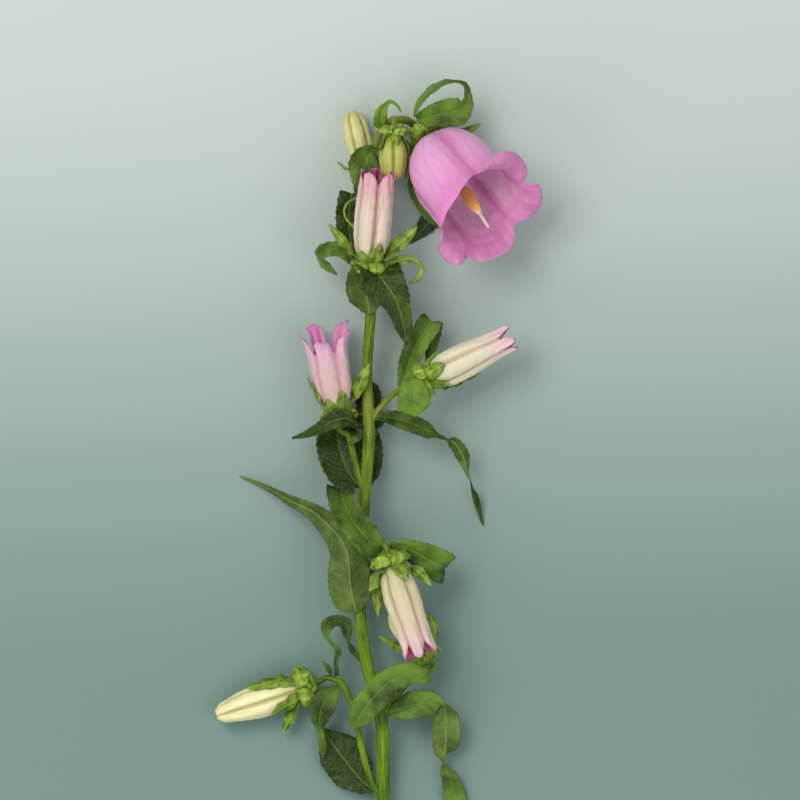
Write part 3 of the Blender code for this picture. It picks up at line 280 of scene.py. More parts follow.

# Each leaf: the fold of its halves in degrees, the height of its waves in mm, its tone and its stations
# of x, y, z, half width, the direction of its left side in the lying plane and, where that side stands up
# from the plane, an elevation. Tone goes from -2, dark, to 2, pale and young; the darkest tones are partly
# painted shade on leaves that lie in shadow. Tone changes along the leaf to a tip value and leans across it
# by a side value: both paint light and shade, such as a lit half and a shaded half of a folded leaf.
# A roll lifts one half.
leafShape = {
    "thickness": 0.34, "edgeThinning": 0.55, "midrib": 0.3, "midribWidth": 0.55, "ribSunk": 0.4,
    "toothSpacing": 2.3, "toothDepth": 0.5, "toothHook": 1.6, "toothShift": 0.4, "waves": 3.5,
    "waveShift": 2.1, "ruffle": 0.6, "ruffleLength": 7.5, "quilt": 0.34, "crumple": 0.3, "crumpleSize": 8.0,
    "wideFrom": 3,           # half width in mm from which relief and teeth have their full size
    "columns": 20, "columnSpread": 1.15, "rowStep": 0.5,
}
leaves = {
    "leaf_top_loop": dict(fold=14, wave=0.5, toneAndShade=0.3, stations=[
        (6.3, 105.2, 14, 1.2, 105), (10.5, 105.8, 18.5, 3.8, 105), (16, 106.9, 20.4, 5.2, 100),
        (21, 108, 21.4, 5.6, 100, 10), (24.3, 110.2, 20.5, 3.6, 160, 30), (25, 114.2, 22, 2, 175, 50),
        (23.9, 117.5, 23, 1.8, 230, 55), (19.3, 118.7, 23.5, 1.5, 270, 65), (13, 116.3, 23, 2, 300, 40),
        (8.7, 112.4, 22, 1.7, 320, 40), (6.3, 108.8, 20.5, 1.2, 335, 40),
        (5.3, 105.9, 18.5, 0.35, 345, 40)]),
    "leaf_top_curl": dict(fold=10, wave=0.2, toneAndShade=1.2, stations=[
        (-6.3, 101.6, 15, 1.2, 190), (-7.3, 104, 17, 2.8, 190), (-7.2, 107, 19, 2.5, 180, 10),
        (-5.8, 110, 20.5, 1.5, 150, 30), (-3.6, 111.5, 21, 1, 90, 50), (-1.2, 110.2, 21, 0.8, 50, 40),
        (0.4, 107.6, 20, 0.3, 50, 40)]),
    "leaf_front_flag": dict(fold=8, wave=0.6, toneAndShade=0.1, stations=[
        (-9.6, 94.5, 15.2, 1.5, 330), (-11.9, 91.5, 16.6, 4.8, 325), (-13.2, 88.5, 17, 5.9, 320),
        (-14.2, 84.8, 16.5, 5.2, 320), (-15.6, 80.5, 16, 2.2, 330), (-16.6, 76.5, 16, 0.4, 340)]),
    "leaf_left_dark": dict(fold=10, wave=0.4, toneAndShade=-1.3, stations=[
        (-14, 49.5, 12, 1.2, 205), (-17, 55, 11.5, 3.4, 200), (-18.9, 62, 11, 4.6, 190),
        (-19.3, 69, 11, 4.9, 180), (-18.3, 76.8, 13.5, 4.4, 175), (-18, 76.9, 10, 3.5, 175),
        (-17.7, 72, 7.5, 2, 175), (-17.5, 68, 6, 0.4, 175)]),
    "leaf_left_flag": dict(fold=10, wave=0.3, toneAndShade=0.4, stations=[
        (-15, 48.8, 16.5, 1, 225), (-18.5, 52.5, 19, 1.8, 225), (-22.5, 56.2, 21, 2.8, 230),
        (-26.5, 56.3, 22.5, 2.9, 260), (-29.6, 54.5, 20.5, 2.4, 300), (-28.3, 51.2, 18, 2.1, 340),
        (-23.6, 46.8, 16.5, 0.3, 20)]),
    "leaf_drape": dict(fold=8, wave=0.5, toneAndShade=-0.7, stations=[
        (-11, 32, 19.2, 1.2, 0), (-11.8, 35.5, 21.5, 5.5, 0), (-12.3, 40, 23.5, 8, 0),
        (-11, 44.4, 25.5, 9, 5), (-8.5, 46.5, 27.8, 9.3, 5), (-6, 44, 29.8, 8.3, 15),
        (-2.5, 39, 29, 6.3, 25), (0, 33, 27, 4.3, 20), (1.5, 27, 24.5, 3.3, 10), (2.5, 20.5, 21, 0.3, 5)]),
    "leaf_under_bell": dict(fold=0, wave=0.0, toneAndShade=-1.6, stations=[
        (7.0, 99.8, 5.6, 0.9, 30), (6, 96, 3.2, 1.6, 20), (7.5, 90, 1.5, 2.6, 15), (11, 81, 0.8, 3.6, 0),
        (13, 73.5, 0.6, 4, -20), (11, 67.2, 0.5, 3.8, -40), (7.3, 62.7, 0.5, 2.4, -40),
        (3.6, 58.6, 0.45, 0.3, -40)]),
    "leaf_behind_bell": dict(fold=10, wave=0.2, toneAndShade=0.6, stations=[
        (5.4, 93.8, 5.7, 0.5, 5), (4.3, 89, 5.3, 0.9, 5), (4.2, 80, 5, 1.3, 15), (6.8, 73.5, 5, 1.4, 32),
        (10.8, 68, 5.5, 1.2, 45), (16, 64.3, 6, 0.3, 55)]),
    "leaf_long_right": dict(fold=26, wave=0.3, toneAndShade=-0.5, stations=[
        (-9.3, -6.6, 17, 0.9, 75), (-4, -6.5, 19, 2.8, 75), (3, -8.3, 20, 3.8, 75),
        (10, -11, 19.5, 3.3, 70, 10), (16.5, -14, 18, 1.4, 60, 80), (20.5, -16.2, 16, 2.6, 215, 20),
        (23.5, -21, 13, 3, 205), (25, -26, 10, 1.4, 200, 10), (26.3, -29.8, 8, 0.5, 200, 80),
        (28.3, -36, 4, 1.4, 15, 10), (29.8, -42, 1.5, 1, 12), (31.2, -47, 0.45, 0.25, 12)]),
    "leaf_tall_fold": dict(fold=16, wave=0.4, toneAndShade=1.0, tipLightAndShade=-0.6, sideLightAndShade=-0.5, stations=[
        (0.3, 4.6, 18.2, 1.2, 165), (1, 7.5, 15, 2.2, 165), (2.4, 12, 13.6, 3.4, 160),
        (4.6, 17.5, 14.6, 4.2, 155), (7.4, 23, 16.4, 4.7, 155), (10, 27, 17.6, 4.7, 155),
        (11.6, 29.2, 16.6, 4.5, 157), (12.4, 27, 13.6, 3.6, 160), (12.2, 22.5, 12, 2.8, 170),
        (11.2, 18, 11.6, 1.9, 175), (9.8, 14.4, 11.6, 0.4, 175)]),
    "leaf_front_diamond": dict(fold=6, wave=0.3, toneAndShade=0.4, tipLightAndShade=1.2, stations=[
        (1.2, 5.4, 21.4, 0.9, 0), (1.8, 7.2, 24.5, 1.9, 0), (3.4, 7.4, 28, 3.4, 0), (4.8, 4.4, 29.6, 5, 0),
        (5.1, 0.6, 29.4, 6.3, 0), (5.2, -1.8, 28.4, 6.4, 0), (5.6, -4.4, 27, 3.4, 0),
        (5.9, -6.2, 26, 0.3, 0)]),
    "leaf_left_low": dict(fold=16, wave=0.3, toneAndShade=-0.9, stations=[
        (-13.6, -10.3, 17.5, 0.8, 285), (-16.5, -9.5, 20.5, 1.6, 285), (-20, -6.9, 23.5, 3.4, 285),
        (-24, -7.4, 24.5, 3.5, 285), (-29, -10, 22.5, 2.5, 285), (-34.5, -12.6, 19, 1.5, 285),
        (-40.3, -14.3, 15.5, 0.4, 285)]),
    "leaf_broad_back": dict(fold=4, wave=0.5, roll=0.25, toneAndShade=-1.8, stations=[
        (-15, -32.3, 14.2, 1.6, 200), (-16.8, -30.5, 13, 6, 215), (-20, -25.5, 11.5, 8.2, 205),
        (-22.3, -19, 9.5, 8.7, 195), (-23.5, -12.5, 8, 7.6, 190), (-23.8, -6, 6.3, 5, 185),
        (-23, -0.5, 5.5, 0.5, 180)]),
    "leaf_back_right": dict(fold=8, wave=0.3, toneAndShade=-1.3, stations=[
        (-12.3, -32.5, 12.3, 1, 170), (-11.2, -27.5, 9, 3.6, 170), (-10.7, -22, 7.5, 4.4, 170),
        (-10.8, -16, 6.5, 4, 175), (-11.5, -11, 6, 2.5, 180), (-12, -8, 6, 0.4, 180)]),
    "leaf_back_dark": dict(fold=6, wave=0.3, toneAndShade=-2, stations=[
        (-11.6, -12, 13.3, 1.2, 180), (-11.6, -9.5, 11.3, 5.6, 180), (-11.7, -4, 9.5, 4.8, 180),
        (-11.9, 1.5, 8.5, 5, 180), (-12.2, 5.3, 8, 3.8, 180), (-12.4, 7.6, 8, 0.5, 180)]),
    "leaf_fold_centre": dict(fold=32, wave=0.5, toneAndShade=0.9, tipLightAndShade=-1.6, stations=[
        (-7.5, -56.1, 22, 1.4, 220), (-9.8, -54.9, 24, 5.2, 215), (-13.3, -50.4, 25, 6.5, 215),
        (-17.6, -45.3, 25, 6.4, 210), (-20.6, -39.5, 24.5, 6.6, 200), (-21.8, -35, 23.5, 6.4, 190),
        (-21.5, -34.3, 20.5, 5.6, 185), (-20.5, -37, 18.5, 3.8, 185), (-19.5, -41, 18, 0.5, 185)]),
    "leaf_big_left": dict(fold=8, wave=0.6, toneAndShade=-0.2, stations=[
        (-15.8, -79.5, 16.6, 1.3, 10), (-17.2, -76, 18.3, 6.8, 10), (-18.5, -70, 19.5, 8.3, 8),
        (-19, -63, 20, 8, 5), (-19.8, -57, 20, 6.6, 15), (-22.5, -51.5, 19.5, 5.6, 35),
        (-27, -46.5, 18, 4.6, 50), (-33, -41.5, 15, 3.1, 55), (-40, -38.2, 11.5, 2.2, 60),
        (-46.5, -34.6, 7.5, 1.3, 60), (-53, -31.4, 3, 0.8, 62), (-60, -28.7, 0.45, 0.25, 65)]),
    "leaf_glossy_right": dict(fold=20, wave=0.4, toneAndShade=0.0, sideLightAndShade=0.9, stations=[
        (-3.8, -54.6, 21, 0.9, 65), (0.2, -54.5, 21.6, 2.6, 70), (5.4, -56.7, 21.4, 4.8, 65),
        (10.8, -59.8, 21.2, 6.4, 62), (15.6, -62.3, 20.4, 6.6, 66), (16.6, -63, 18.2, 5.8, 66),
        (12, -61.5, 16.6, 3.8, 62), (8, -60, 16.2, 0.5, 62)]),
    "leaf_cross_stem": dict(fold=10, wave=0.5, toneAndShade=0.9, tipLightAndShade=0, sideLightAndShade=-0.4, stations=[
        (7.6, -101.8, 13.2, 1, 285), (10.6, -102.4, 17, 2.2, 285), (9.4, -102.9, 20.5, 3, 285),
        (4, -102, 22.5, 4.2, 285), (-2, -104, 23.5, 5, 290), (-8, -109, 23, 5.6, 310),
        (-13, -115, 21, 5.2, 315), (-16, -120, 18.5, 3.6, 325), (-17.3, -123.2, 17, 0.8, 335)]),
    "leaf_right_drop": dict(fold=12, wave=0.5, toneAndShade=0.3, stations=[
        (-4.3, -117.6, 12, 1, 100), (0.5, -115.6, 14.5, 4, 100), (6, -113.8, 16, 5.6, 95),
        (12, -113.6, 16, 4.6, 90), (16.5, -114.8, 15, 3.4, 130, 65), (17.2, -119, 13, 5.1, 180, 10),
        (17.3, -124.5, 10.5, 5.6, 180), (17, -130, 8, 4.9, 180), (16.8, -135, 6, 2.6, 180, 80),
        (18.6, -141, 3.5, 3.2, 20, 10), (20.3, -148, 1.5, 4.4, 10), (21.2, -155, 0.8, 3.4, 5),
        (21, -163, 0.45, 0.4, 0)]),
    "leaf_shoot_left": dict(fold=12, wave=0.4, toneAndShade=-0.4, stations=[
        (-23, -107.3, 11.5, 0.9, 325), (-25.8, -110, 13, 3.6, 325), (-29, -114.5, 13.5, 5, 325),
        (-30, -119.5, 12, 3.4, 345), (-29.8, -124, 10, 1.3, 0), (-29, -129, 8, 1.6, 10),
        (-28.8, -134, 6.5, 0.4, 0)]),
    "leaf_bottom_left": dict(fold=6, wave=1.0, toneAndShade=-1.3, stations=[
        (-9.8, -146.3, 5.5, 1.2, 220), (-13.5, -143.5, 4.5, 5, 220), (-18, -138.5, 3.5, 8.3, 220),
        (-22.5, -132.5, 3, 8.4, 220), (-26.3, -127.5, 3, 5, 220), (-29, -123.5, 3, 1, 220)]),
    "leaf_twist_loop": dict(fold=10, wave=0.2, toneAndShade=-0.2, stations=[
        (-23.6, -103.2, 11, 1, 180), (-23.9, -97.5, 13, 0.9, 185), (-23.3, -93.5, 14.5, 1.3, 200),
        (-25.8, -90.8, 15, 0.7, 225), (-27.5, -87.5, 15.5, 1.3, 195), (-27, -83.9, 16, 2.6, 155),
        (-23.5, -82.4, 16, 2.1, 90), (-20.4, -83.6, 15.5, 2.5, 40), (-19.7, -87.5, 14, 1.8, 5),
        (-19.2, -90.6, 12.5, 0.6, 15), (-17.8, -93.5, 11, 1.2, 40), (-15.5, -96.5, 9.2, 0.8, 35),
        (-14, -98.5, 8.5, 0.3, 35)]),
    "bract_small": dict(fold=8, wave=0.1, toneAndShade=0.2, stations=[
        (-25.5, -103.3, 11, 0.5, 205), (-26.7, -100.6, 12, 1.1, 212), (-27.9, -98.7, 13, 0.6, 225),
        (-29.5, -97.5, 13.5, 0.3, 235)]),
    "leaf_small": dict(fold=8, wave=0.1, toneAndShade=-0.5, stations=[
        (-13.7, -12.6, 18, 0.8, 303), (-16.5, -14.4, 19.8, 1.4, 303), (-19.5, -16.6, 19.8, 0.5, 303)]),
}


def sideVector(azimuth, elevation):
    azimuth, elevation = np.radians(azimuth), np.radians(elevation)
    flat = np.cos(elevation)
    return np.stack([np.cos(azimuth) * flat, np.sin(azimuth) * flat, np.sin(elevation)], axis=-1)


def bladeFrame(table, elevation, rowStep):  # middle line, half width, left side and normal at even steps
    rows = int(runLength(table[:, :3])[-1] / rowStep)
    keys, places = evenPlaces(table[:, :3], rows)
    spine = follow(keys, table[:, :3], places)
    half = follow(keys, table[:, 3], places, limited=True)
    side = follow(keys, sideVector(table[:, 4], elevation), places)
    along = unit(np.gradient(spine, axis=0))
    side = unit(side - along * np.sum(side * along, axis=1, keepdims=True))
    return spine[:, None], half, side[:, None], np.cross(along, side)[:, None]


def addLeaf(shape, leaf, seed):
    look = leafShape
    table = np.array([station + (0,) * (6 - len(station)) for station in leaf["stations"]], float)
    spine, half, side, normal = bladeFrame(table, table[:, 5], look["rowStep"])
    across = np.linspace(-1, 1, look["columns"] + 1)
    across = (np.sign(across) * abs(across) ** look["columnSpread"])[None, :]
    share = np.linspace(0, 1, len(half))[:, None]
    gone = share * runLength(table[:, :3])[-1]
    outMm = across * half
    wide = np.clip(half / look["wideFrom"], 0, 1)
    fold = np.radians(leaf["fold"])
    fade = np.sin(np.pi * share) * half / half.max()
    swing = np.sin(2 * np.pi * look["waves"] * share + np.where(across < 0, 0, look["waveShift"]))
    left, right = np.random.default_rng(seed).uniform(0, 6.28, 2)
    ruffle = np.sin(gone * 2 * np.pi / look["ruffleLength"] + np.where(across < 0, left, right)
                    + 1.5 * np.sin(gone * 0.21 + left))
    veinPhase = (gone - leafLook["veinLean"] * abs(across) * half) / leafLook["veinSpacing"]
    flat = np.stack([gone * np.ones_like(across), outMm, 0 * half * across], axis=-1)
    # the fold and waves lift both halves, the ruffle the margin, and the quilt what is between side veins
    lift = np.sin(fold) * abs(across) * half + leaf["wave"] * swing * across**2 * fade
    lift = lift + leaf.get("roll", 0) * half * np.clip(across, 0, 1) ** 2
    lift = lift + look["ruffle"] * ruffle * across**4 * np.clip(half / 4, 0, 1)
    lift = lift + look["quilt"] * abs(np.sin(np.pi * veinPhase)) * np.sin(np.pi * abs(across)) * wide
    lift = lift + look["crumple"] * smoothNoise(flat, look["crumpleSize"], seed + 50) * abs(across) * wide
    tooth = gone / look["toothSpacing"] + np.where(across < 0, 0, look["toothShift"])
    cut = (tooth % 1) ** look["toothHook"] - 0.5
    teeth = look["toothDepth"] * cut * abs(across) ** 8 * wide * np.clip(8 * (1 - share), 0, 1)
    reach = np.cos(fold) * across * half + np.sign(across) * teeth
    middle = spine + side * reach[..., None] + normal * lift[..., None]
    middle[..., 2] = np.maximum(middle[..., 2], look["thickness"] / 2)
    outward = sheetNormals(middle)
    rib = look["midrib"] * np.exp(-(outMm / look["midribWidth"]) ** 2) * np.maximum(wide, 0.2)
    thin = look["thickness"] * (1 - look["edgeThinning"] * abs(across) ** 6)
    top = middle + outward * (thin / 2 - look["ribSunk"] * rib)[..., None]
    bottom = middle - outward * (thin / 2 + rib)[..., None]
    # painted light and shade: the tone runs towards the tip value and leans across the blade, one half
    # lighter
    toneAndShade = np.linspace(leaf["toneAndShade"], leaf.get("tipLightAndShade", leaf["toneAndShade"]), len(half))[:, None]
    values = {"ribMm": abs(outMm) / np.clip(half / 4, 0.3, 1), "veinPhase": veinPhase,
              "edge": abs(across) * np.ones_like(share), "toneAndShade": toneAndShade + leaf.get("sideLightAndShade", 0) * across}
    addSheet(shape, top, bottom, values, (0, 1))


for seed, (name, leaf) in enumerate(leaves.items()):
    shape = Shape()
    addLeaf(shape, leaf, seed)
    fasten(shape.finished("blade_" + name, leafSkins), "leaf", name)
print("stage: leaves made,", len(leaves))

# Each flower: base and tip or axis, radii along the axis, and sepals as angle round the axis, length,
# half width, flare, curl in degrees a mm and twist. Angle 0 faces up. Tones run from base to rim. A lobe
# is the reach past the notches, and a hollow flower is hollow down to its floor. A rim is angle, reach
# past the outline and bend in degrees a mm, and a flower without one repeats its lobe five times.
closedBud = dict(lobe=0, bend=2, bendPower=2, rib=0.03, ruffle=0)  # where a flower says nothing else
flowers = {
    "bell": dict(
        base=(10.5, 96.6, 10), axis=(0.467, -0.594, 0.655), ovary=5.0, ovaryRadius=4.2,
        profile=[(0, 3.0), (1.5, 5.0), (4, 8.2), (8, 12.0), (14, 15.2), (21, 16.5), (29, 16.5), (35, 16.5),
                 (40, 17.4)],
        lobe=9.8, floor=2.3, rib=0.015, pleat=0.045, bendPower=1, notches=(80, 130, 200, 260, 340),
        rim=[(0, 3.4, -4), (20, 5.2, -4), (42, 5.4, -3), (62, 4.4, -1), (80, 0.6, 5), (95, 4.4, 24),
             (106, 6.8, 15), (119, 9.7, 3.5), (130, 6.4, 5), (148, 9.6, 0.8), (168, 9.7, 0), (186, 7.9, 2),
             (200, 3.4, 4), (214, 7.2, 11), (228, 8.5, 8.5), (243, 8.8, 8), (253, 7.9, 10), (260, 2.4, 14),
             (273, 5.8, 13), (292, 8.4, 15), (312, 9.8, 12.5), (328, 5.5, 13), (340, 0.4, 5)],
        frill=1.8, frillTurn=0, ruffle=0.12,
        sepals=[(-100, 18, 2.0, 56, 3, 30), (180, 16, 2.4, 0, 0), (100, 10, 2.8, 4, 0),
                (-45, 8, 3.4, 72, 11), (20, 7, 3.2, 72, 12)],
        # inside: pale in the throat as in the real bell, and painted paler still for light falling into the
        # mouth
        outside=("#E2A0D0", "#E8A2D6", "#E88CCB"), inside=("#F2D4E2", "#F2CAE0", "#C880B0"),
        grooveAndShade=("#CE80B6", "#C468A6"), rimTone="#D07AAE", edgeTone="#F0BCE4"),
    "bud_right": dict(
        base=(10.1, 8.1, 21.5), tip=(42.6, 24.1, 24), ovary=5.0, ovaryRadius=4.0,
        profile=[(0, 3.4), (4, 5.4), (9, 6.6), (14, 6.7), (22, 6.0), (30, 5.0)],
        lobe=5.5, point=1.8, turn=14, floor=26.0, rib=0.04, pleat=0.12, ruffle=0.3,
        sepals=[(-15, 10.5, 3.4, 18, 0), (50, 9, 3.4, 16, 0), (110, 20, 2.4, -4, 0),
                (-130, 17, 1.2, 18, -4), (-75, 10, 2.6, 6, 0)],
        outside=("#C6C48C", "#D9D5BE", "#E8C4CA"), inside=("#D07A9E", "#C05A86", "#C8628E"),
        grooveAndShade=("#B9A866", "#D2A890"), rimTone="#D9849F", edgeTone="#F1DDC8"),
    "bud_left": dict(
        base=(-23.2, -4.6, 16), tip=(-28.3, 25, 18.5), ovary=5.0, ovaryRadius=4.2,
        profile=[(0, 3.5), (5, 5.6), (10, 7.1), (17, 7.5), (22, 7.4)],
        lobe=11.0, floor=17.0, pleat=0.07, bendPower=1.6, ruffle=0.4,
        notches=(24, 96, 168, 240, 312),
        rim=[(6, 4.8, 11), (24, 0.3, 5), (42, 6, 8), (60, 8.4, 10), (78, 6, 8), (96, 0.3, 4), (112, 9.6, 4),
             (132, 12, 5.5), (152, 9.6, 4), (168, 0.5, 4), (184, 9.6, 4), (204, 12, 5), (224, 9.6, 4),
             (240, 0.4, 4), (256, 7.6, 4), (276, 9.2, 5.5), (296, 7.4, 4.5), (312, 0.3, 5), (330, 4.8, 11),
             (348, 7.4, 15)],
        sepals=[(-76, 17, 2.9, 14, 0), (25, 9.5, 2.6, 15, 0), (75, 20, 3.4, 34, 0, -80),
                (160, 12, 2.0, 0, 0), (-30, 7, 2.8, 20, 0)],
        outside=("#CDC9A2", "#D2B2B2", "#DCAEC8"), inside=("#D688BA", "#D884BC", "#DA88BE"),
        grooveAndShade=("#BFB07C", "#CC90AC"), rimTone="#CE66A6", edgeTone="#E6C8CC"),
    "bud_upright": dict(
        base=(-11.3, 51.4, 24), tip=(-8.6, 81.5, 29.7), ovary=4.5, ovaryRadius=4.2,
        profile=[(0, 3.4), (4, 5.6), (10, 6.8), (18, 7.0), (25, 6.8), (29.4, 6.4)],
        lobe=5.0, point=2.2, turn=44, floor=25.0, pleat=0.2, ruffle=0.3,
        sepals=[(-80, 19, 2.4, 43, 0, 70), (25, 10, 3.2, 16, 0), (95, 20, 3.3, 40, 0, -70),
                (-30, 6, 3.0, 25, 0)],
        ribbons=[
            [(-9.2, 48.4, 22.6, 1.1, 80), (-5.0, 50.7, 23.2, 1.6, 78), (0.3, 52.2, 22.6, 2.1, 80),
             (4.2, 52.6, 23, 1.2, 62), (7.3, 50.9, 23, 0.95, 32), (8.3, 48.4, 22.8, 1.0, -5),
             (7.1, 45.8, 22.4, 1.0, -42), (5, 44.2, 22, 0.75, -66), (3.3, 43.7, 21.6, 0.3, -75)],
            [(-13, 49.5, 20.6, 1.0, 190), (-15.6, 54.2, 18.2, 0.9, 195), (-17.2, 64.3, 19.2, 0.6, 215),
             (-20, 67.6, 20, 0.5, 205), (-20.9, 70.6, 20.3, 0.5, 175), (-19.6, 73.6, 20.5, 0.5, 130),
             (-17.2, 75.1, 20.3, 0.45, 110), (-15.2, 75.6, 19.6, 0.3, 105)]],
        outside=("#C8CC9A", "#D8CAB8", "#DAA8B2"), inside=("#A23A66", "#94305A", "#8E2E56"),
        grooveAndShade=("#93703F", "#A4506A"), rimTone="#C56F8E", edgeTone="#E2CFBE"),
    "bud_small_green": dict(
        base=(-2.4, 99.5, 20.5), tip=(-2.6, 82.2, 20.2), ovary=3.0, ovaryRadius=3.4,
        profile=[(0, 2.2), (4, 4.2), (9, 5.2), (14.5, 4.2), (16.5, 2.8), (17.3, 1.4)],
        turn=36, pleat=0.2,
        sepals=[(60, 9, 1.6, 25, 0, -50), (-120, 19, 2.1, 2, 0), (180, 12, 2.2, 0, 0),
                (120, 9, 2.2, 5, 0), (-15, 5, 2.2, 8, 0)],
        outside=("#94A63C", "#BCC268", "#B89C60"), grooveAndShade=("#5F7A22", "#7E7032"), rimTone="#8F6A3C",
        edgeTone="#E3E08E"),
    "bud_top_left": dict(
        base=(-12.5, 84.5, 6.5), tip=(-18.2, 108, 6), ovary=3.5, ovaryRadius=3.4,
        profile=[(0, 2.8), (6, 4.2), (14, 4.9), (19, 4.6), (22.5, 3.3), (24.2, 1.4)],
        turn=10, pleat=0.17,
        sepals=[(-70, 10.5, 2.1, 45, 0), (80, 9, 2.0, 6, 0), (160, 8, 2.0, 0, 0),
                (-150, 8, 2.0, 0, 0), (5, 7, 2.0, 0, 0)],
        outside=("#B2B466", "#D2CE92", "#BEB870"), grooveAndShade=("#8A8636", "#978E44"), rimTone="#B09C56",
        edgeTone="#E0DCA2"),
    "bud_drooping": dict(
        base=(-3.2, -61.2, 27), tip=(8.3, -96.5, 27.5), ovary=5.0, ovaryRadius=4.4,
        profile=[(0, 3.4), (5, 5.8), (14, 6.8), (24, 6.3), (30, 6.1)],
        lobe=6.0, point=1.8, turn=5, floor=27.0, pleat=0.13, ruffle=0.35,
        sepals=[(-30, 8.5, 3.4, 20, 0), (-75, 15, 2.8, 45, -3, 75), (65, 11, 3.2, 50, 0, -75),
                (105, 19, 2.8, 26, -1, -50), (180, 12, 2.4, 0, 0)],
        outside=("#B6BA86", "#D4CAA8", "#E6BEC4"), inside=("#B0406E", "#A83A68", "#B44674"),
        grooveAndShade=("#9A9656", "#C49A94"), rimTone="#CF5F93", edgeTone="#E6DAB8"),
    "bud_lower_left": dict(
        base=(-38, -108, 8.5), tip=(-68.5, -118, 7.5), ovary=7.0, ovaryRadius=4.6,
        profile=[(0, 3.4), (3, 5.2), (7, 6.3), (12, 6.5), (20, 5.8), (27, 4.5), (31, 3.1), (32.3, 2.1)],
        turn=30, pleat=0.2,
        sepals=[(50, 19, 3.4, 4, 0), (120, 21, 3.0, -4, 0), (-40, 14, 3.0, 18, 0),
                (-95, 15, 3.0, 42, 0, 60), (-160, 10, 2.2, 0, 0)],
        outside=("#DCDC9C", "#EBE8BA", "#E4DCA2"), grooveAndShade=("#9A9648", "#AA9E58"), rimTone="#C4AC66",
        edgeTone="#F1ECBE"),
    "bud_behind": dict(
        base=(8.8, -94.7, 11), tip=(-3.4, -79, 9.5), ovary=4.5, ovaryRadius=3.6,
        profile=[(0, 2.8), (5, 4.0), (11, 4.6), (16, 3.9), (19, 2.0), (20, 1.0)],
        turn=0, pleat=0.15,
        sepals=[(-80, 17, 2.2, 22, 0, 75), (100, 20, 2.4, 20, -2), (70, 16, 1.8, 62, -8, 60),
                (180, 10, 2.0, 0, 0), (0, 7, 2.2, 5, 0)],
        outside=("#CFCE88", "#DAD69A", "#CFC684"), grooveAndShade=("#98964C", "#A0964E"), rimTone="#B8A866",
        edgeTone="#E9E6B4"),
}
flowers = {name: {**closedBud, **flower} for name, flower in flowers.items()}
petalShape = {
    "columns": 150, "bellColumns": 240, "rows": 64, "rowSpread": 0.9, "thickness": 0.5,
    "rimThickness": 0.22, "rimThins": 4,      # mm over which a petal thins towards its rim
    "rimEdge": 0.4, "crinkle": 0.14, "crinkleSize": 3.5, "strokeSquash": 0.06, "pleatsFrom": 5,
    "foldWidth": 0.28, "foldFade": 0.25,      # part of a fold lost for each mm past the notches
    "creaseAt": 0.45, "creaseWidth": 0.14, "creaseDepth": 0.06,
    "ruffleFrom": 0.72, "ruffleOver": 0.3,    # shares of the way to the notches
}


def flowerFrame(flower):
    base = np.array(flower["base"], float)
    axis = unit(np.array(flower["axis"], float) if "axis" in flower else np.array(flower["tip"]) - base)
    up = np.array([0.0, 0.0, 1.0])
    front = unit(up - axis * np.dot(up, axis))
    return base, axis, front, np.cross(axis, front)


def around(flower, height, radius, angle):  # places on rings round the flower's axis
    base, axis, front, side = flowerFrame(flower)
    height, radius, angle = (np.asarray(part, float)[..., None] for part in (height, radius, angle))
    return base + axis * height + radius * (front * np.cos(angle) + side * np.sin(angle))


def inFlower(flower, angle, height, radius, aside):  # places in the flat frame of one sepal at that angle
    base, axis, front, side = flowerFrame(flower)
    radial = front * np.cos(np.radians(angle)) + side * np.sin(np.radians(angle))
    height, radius, aside = (part[..., None] for part in (height, radius, aside))
    return base + height * axis + radius * radial + aside * np.cross(axis, radial)


def outline(flower):  # height along the axis and radius, from the base to the notches
    keys, radii = zip(*flower["profile"])
    heights = np.linspace(0, keys[-1], 200)
    return np.stack([heights, follow(keys, radii, heights, limited=True)[:, 0]], axis=1)


def outlineAt(flower, lengths, bend):  # past the notches a lobe bends out more and more
    line = outline(flower)
    length = runLength(line)
    inside = np.minimum(lengths, length[-1])
    height, radius = (np.interp(inside, length, part) for part in line.T)
    if not flower["lobe"]:
        return height, radius
    rise = line[-1] - line[-6]
    past = np.maximum(lengths - length[-1], 0)
    steps = past[..., None] * (np.arange(24) + 0.5) / 24
    curl = np.radians(bend)[..., None] * steps * (steps / flower["lobe"]) ** (flower["bendPower"] - 1)
    turned = np.arctan2(rise[1], rise[0]) + curl
    return height + past * np.cos(turned).mean(axis=-1), radius + past * np.sin(turned).mean(axis=-1)


def lobeShare(flower, angles):  # -1 to 1 from notch to notch across each lobe
    degrees = np.degrees(angles)
    if "notches" not in flower:
        return ((degrees - flower["turn"] + lobeHalf) % (2 * lobeHalf)) / lobeHalf - 1
    notches = flower["notches"]
    keys = [notches[-1] - 360, *notches, notches[0] + 360]
    return 2 * (np.interp(degrees % 360, keys, np.arange(len(keys))) % 1) - 1


def rimOf(flower, angles, share):  # how far each lobe reaches past the notches, and how it bends
    if "rim" not in flower:
        reach = flower["lobe"] * (1 - abs(share) ** flower.get("point", 1))
        return reach, np.full(len(angles), float(flower["bend"]))
    keys = np.array(flower["rim"], float)
    wrapped = np.concatenate([keys[-2:] - (360, 0, 0), keys, keys[:2] + (360, 0, 0)])
    return follow(wrapped[:, 0], wrapped[:, 1:], np.degrees(angles) % 360, limited=True).T


